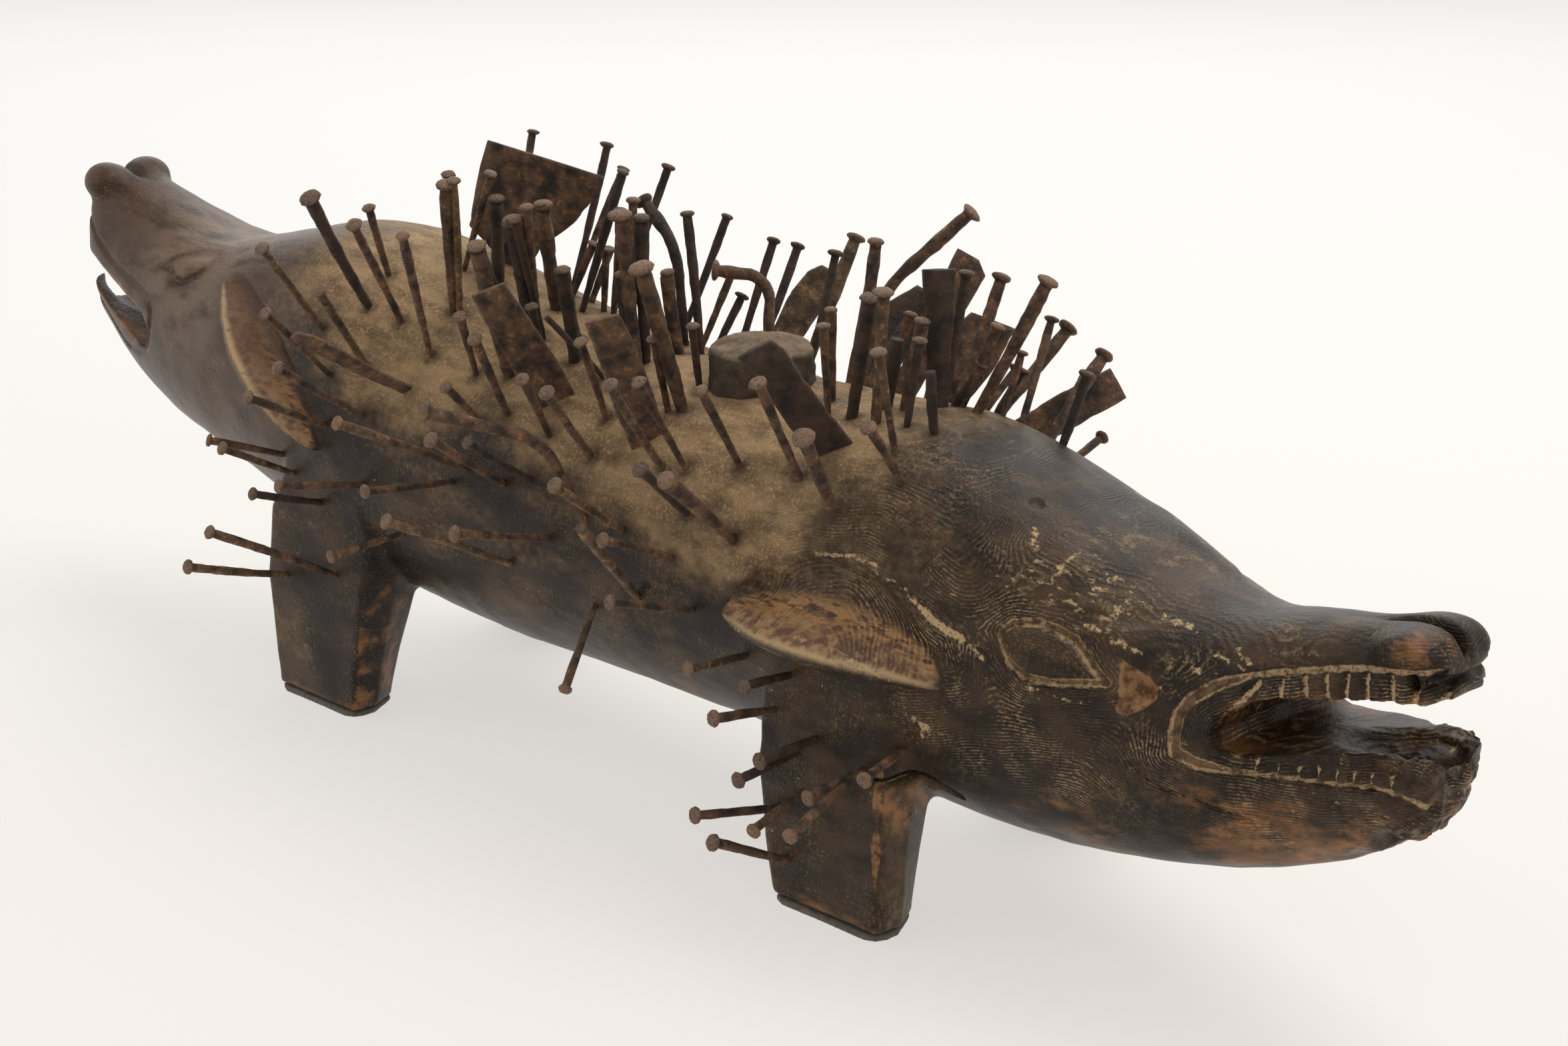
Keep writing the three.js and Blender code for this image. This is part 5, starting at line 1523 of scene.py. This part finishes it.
# The cut edge from the floor up: height, and how far it is drawn in.
FELT_EDGE = ((0.0, 1.4), (0.25, 0.5), (1.2, 0.25), (2.2, 0.3), (2.8, 0.7), (FELT_THICKNESS, 1.6))
FELT_BROWN = (0.075, 0.060, 0.044)
FELT_GREY = (0.15, 0.125, 0.095)
FUZZ_GREY = (0.22, 0.19, 0.15)
pressed_felt, tree, surface = shader("pressed_grey_felt")
fuzz = mottle(tree, 0.7, 4, rough=0.8)
tufts = mottle(tree, 4, 5)
colour = layered(tree, between(tree, tufts, 0.3, 0.7), FELT_BROWN, FELT_GREY)
colour = layered(tree, between(tree, fuzz, 0.55, 0.8), colour, FUZZ_GREY)
fit(tree, surface.inputs["Base Color"], colour)
surface.inputs["Roughness"].default_value = 1.0
surface.inputs["Sheen Weight"].default_value = 0.1
raised(tree, surface, plus(tree, fuzz, tufts), 1.0, 0.0007)


def foot_pad(name, centre, side):
    """One pad, its corners cut round, wider at the outer edge of the foot."""
    width = FOOT_WIDTH if side < 0 else BACK_FOOT_WIDTH
    half = FOOT_LENGTH / 2 + FELT_OVERHANG
    outer = STANCE_HALF + FELT_OVERHANG
    inner = STANCE_HALF - width - FELT_OVERHANG
    middle = (outer + inner) / 2
    bow = SIDEWAYS_BOW * (1 - (centre / HALF_LENGTH) ** 2)
    corners = [(-half, outer - 7), (-half + 2.2, outer - 2.2), (-half + 7, outer), (half - 7, outer),
               (half - 2.2, outer - 2.2), (half, outer - 7), (half, outer - 0.45 * width),
               (half - 6, inner + 5), (half - 8.2, inner + 1.3), (half - 11, inner), (-half + 13, inner),
               (-half + 10.2, inner + 1.3), (-half + 8, inner + 5), (-half, outer - 0.6 * width)]
    round_again = np.array(corners + corners[:1], dtype=float)
    lengths = np.cumsum([0] + [np.linalg.norm(b - a) for a, b in zip(round_again, round_again[1:])])
    at = np.linspace(0, lengths[-1], FELT_STEPS, endpoint=False)
    px = np.interp(at, lengths, round_again[:, 0])
    py = np.interp(at, lengths, round_again[:, 1])
    rings = []
    for h, inset in FELT_EDGE:
        fray = inset + FELT_FRAY * np.abs(grain(px + centre, py, np.full(FELT_STEPS, h * 2), 1.5))
        shrink = 1 - fray / np.maximum(np.hypot(px, py - middle), 8)
        ring_y = bow + side * (middle + (py - middle) * shrink)
        rings.append(np.stack([centre + px * shrink, ring_y, np.full(FELT_STEPS, h)], 1))
    if side > 0:
        rings = [ring[::-1] for ring in rings]
    points, faces, caps = tube(rings)
    return close_mesh(name, points, faces, caps, {})


for end, centre in (("near", LEG_NEAR_X), ("far", LEG_FAR_X)):
    for side, place in ((-1, "front"), (1, "back")):
        node = f"felt_{end}_{place}"
        pad = foot_pad("pad_" + node, centre, side)
        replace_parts(piece_of("pad_" + node, pad, pressed_felt), node)


# A plain pale floor, paler towards the back, under soft light from above and
# all round, and a camera where the photograph was taken. The floor is turned
# to face the camera.
VIEW_ROUND = 44.51
VIEW_DOWN = 18.24
LENS = 66.15
FLOOR_HALF = 30.0
FLOOR_GREY = (0.26, 0.25, 0.235)
FLOOR_PALE = (0.27, 0.262, 0.25)
FRONT_GLOW = (1.0, 0.945, 0.89)
BACK_GLOW = (1.0, 1.005, 0.99)
# How far behind the figure, in metres, and how pale the floor is there.
FLOOR_BANDS = ((-FLOOR_HALF, 0.0), (-0.6, 0.0), (0.4, 0.4), (1.6, 0.9), (2.6, 1.0), (FLOOR_HALF, 1.0))
pale_floor, tree, surface = shader("pale_floor")
tone = mottle(tree, 900, 2)
fit(tree, surface.inputs["Base Color"], layered(tree, tone, FLOOR_GREY, FLOOR_PALE))
surface.inputs["Roughness"].default_value = 0.9
glow = layered(tree, noted(tree, "depth"), FRONT_GLOW, BACK_GLOW)
fit(tree, surface.inputs["Emission Color"], glow)
surface.inputs["Emission Strength"].default_value = 0.60
verts, depths = [], []
for depth, paleness in FLOOR_BANDS:
    verts += [(-FLOOR_HALF, depth, 0.0), (FLOOR_HALF, depth, 0.0)]
    depths += [paleness, paleness]
floor_mesh = bpy.data.meshes.new("plain_floor")
floor_mesh.from_pydata(verts, [], [(i, i + 1, i + 3, i + 2) for i in range(0, len(verts) - 2, 2)])
note(floor_mesh, "depth", np.array(depths))
floor_mesh.materials.append(pale_floor)
floor = bpy.data.objects.new("plain_floor", floor_mesh)
floor.rotation_euler = (0, 0, math.radians(VIEW_ROUND))
bpy.context.scene.collection.objects.link(floor)

AIM = Vector((0.0, 0.0, 0.11))


def lamp(name, place, size, power, colour):
    """A soft lamp that faces the figure's middle."""
    data = bpy.data.lights.new(name, "AREA")
    data.shape = "RECTANGLE"
    data.size, data.size_y = size
    data.energy = power
    data.color = colour
    item = bpy.data.objects.new(name, data)
    item.location = place
    item.visible_camera = False
    item.rotation_euler = (AIM - Vector(place)).to_track_quat("-Z", "Y").to_euler()
    bpy.context.scene.collection.objects.link(item)


lamp("overhead_softbox", (0.2, 0.9, 2.2), (2.4, 1.6), 40, (1.0, 0.985, 0.96))
lamp("back_softbox", (-1.6, 1.7, 1.05), (2.4, 1.1), 12, (1.0, 0.99, 0.97))
lamp("front_softbox", (1.9, -1.2, 1.5), (1.4, 1.4), 7, (1.0, 0.98, 0.95))
lamp("left_softbox", (-1.9, -1.4, 1.2), (1.4, 1.6), 7, (1.0, 0.985, 0.96))

world = bpy.data.worlds.new("pale_room")
world.use_nodes = True
world.node_tree.nodes["Background"].inputs["Color"].default_value = (0.93, 0.93, 0.92, 1)
world.node_tree.nodes["Background"].inputs["Strength"].default_value = 0.62
bpy.context.scene.world = world
bpy.context.scene.view_settings.view_transform = "Standard"

CAMERA_FROM_BARREL = np.array([924.6, -853.7, 530.4])
camera_data = bpy.data.cameras.new("camera")
camera_data.lens = LENS
camera_data.sensor_width = 36
camera = bpy.data.objects.new("camera", camera_data)
camera.location = (CAMERA_FROM_BARREL + OFFSET) / 1000
camera.rotation_euler = (math.radians(90 - VIEW_DOWN), 0, math.radians(VIEW_ROUND))
bpy.context.scene.collection.objects.link(camera)
bpy.context.scene.camera = camera
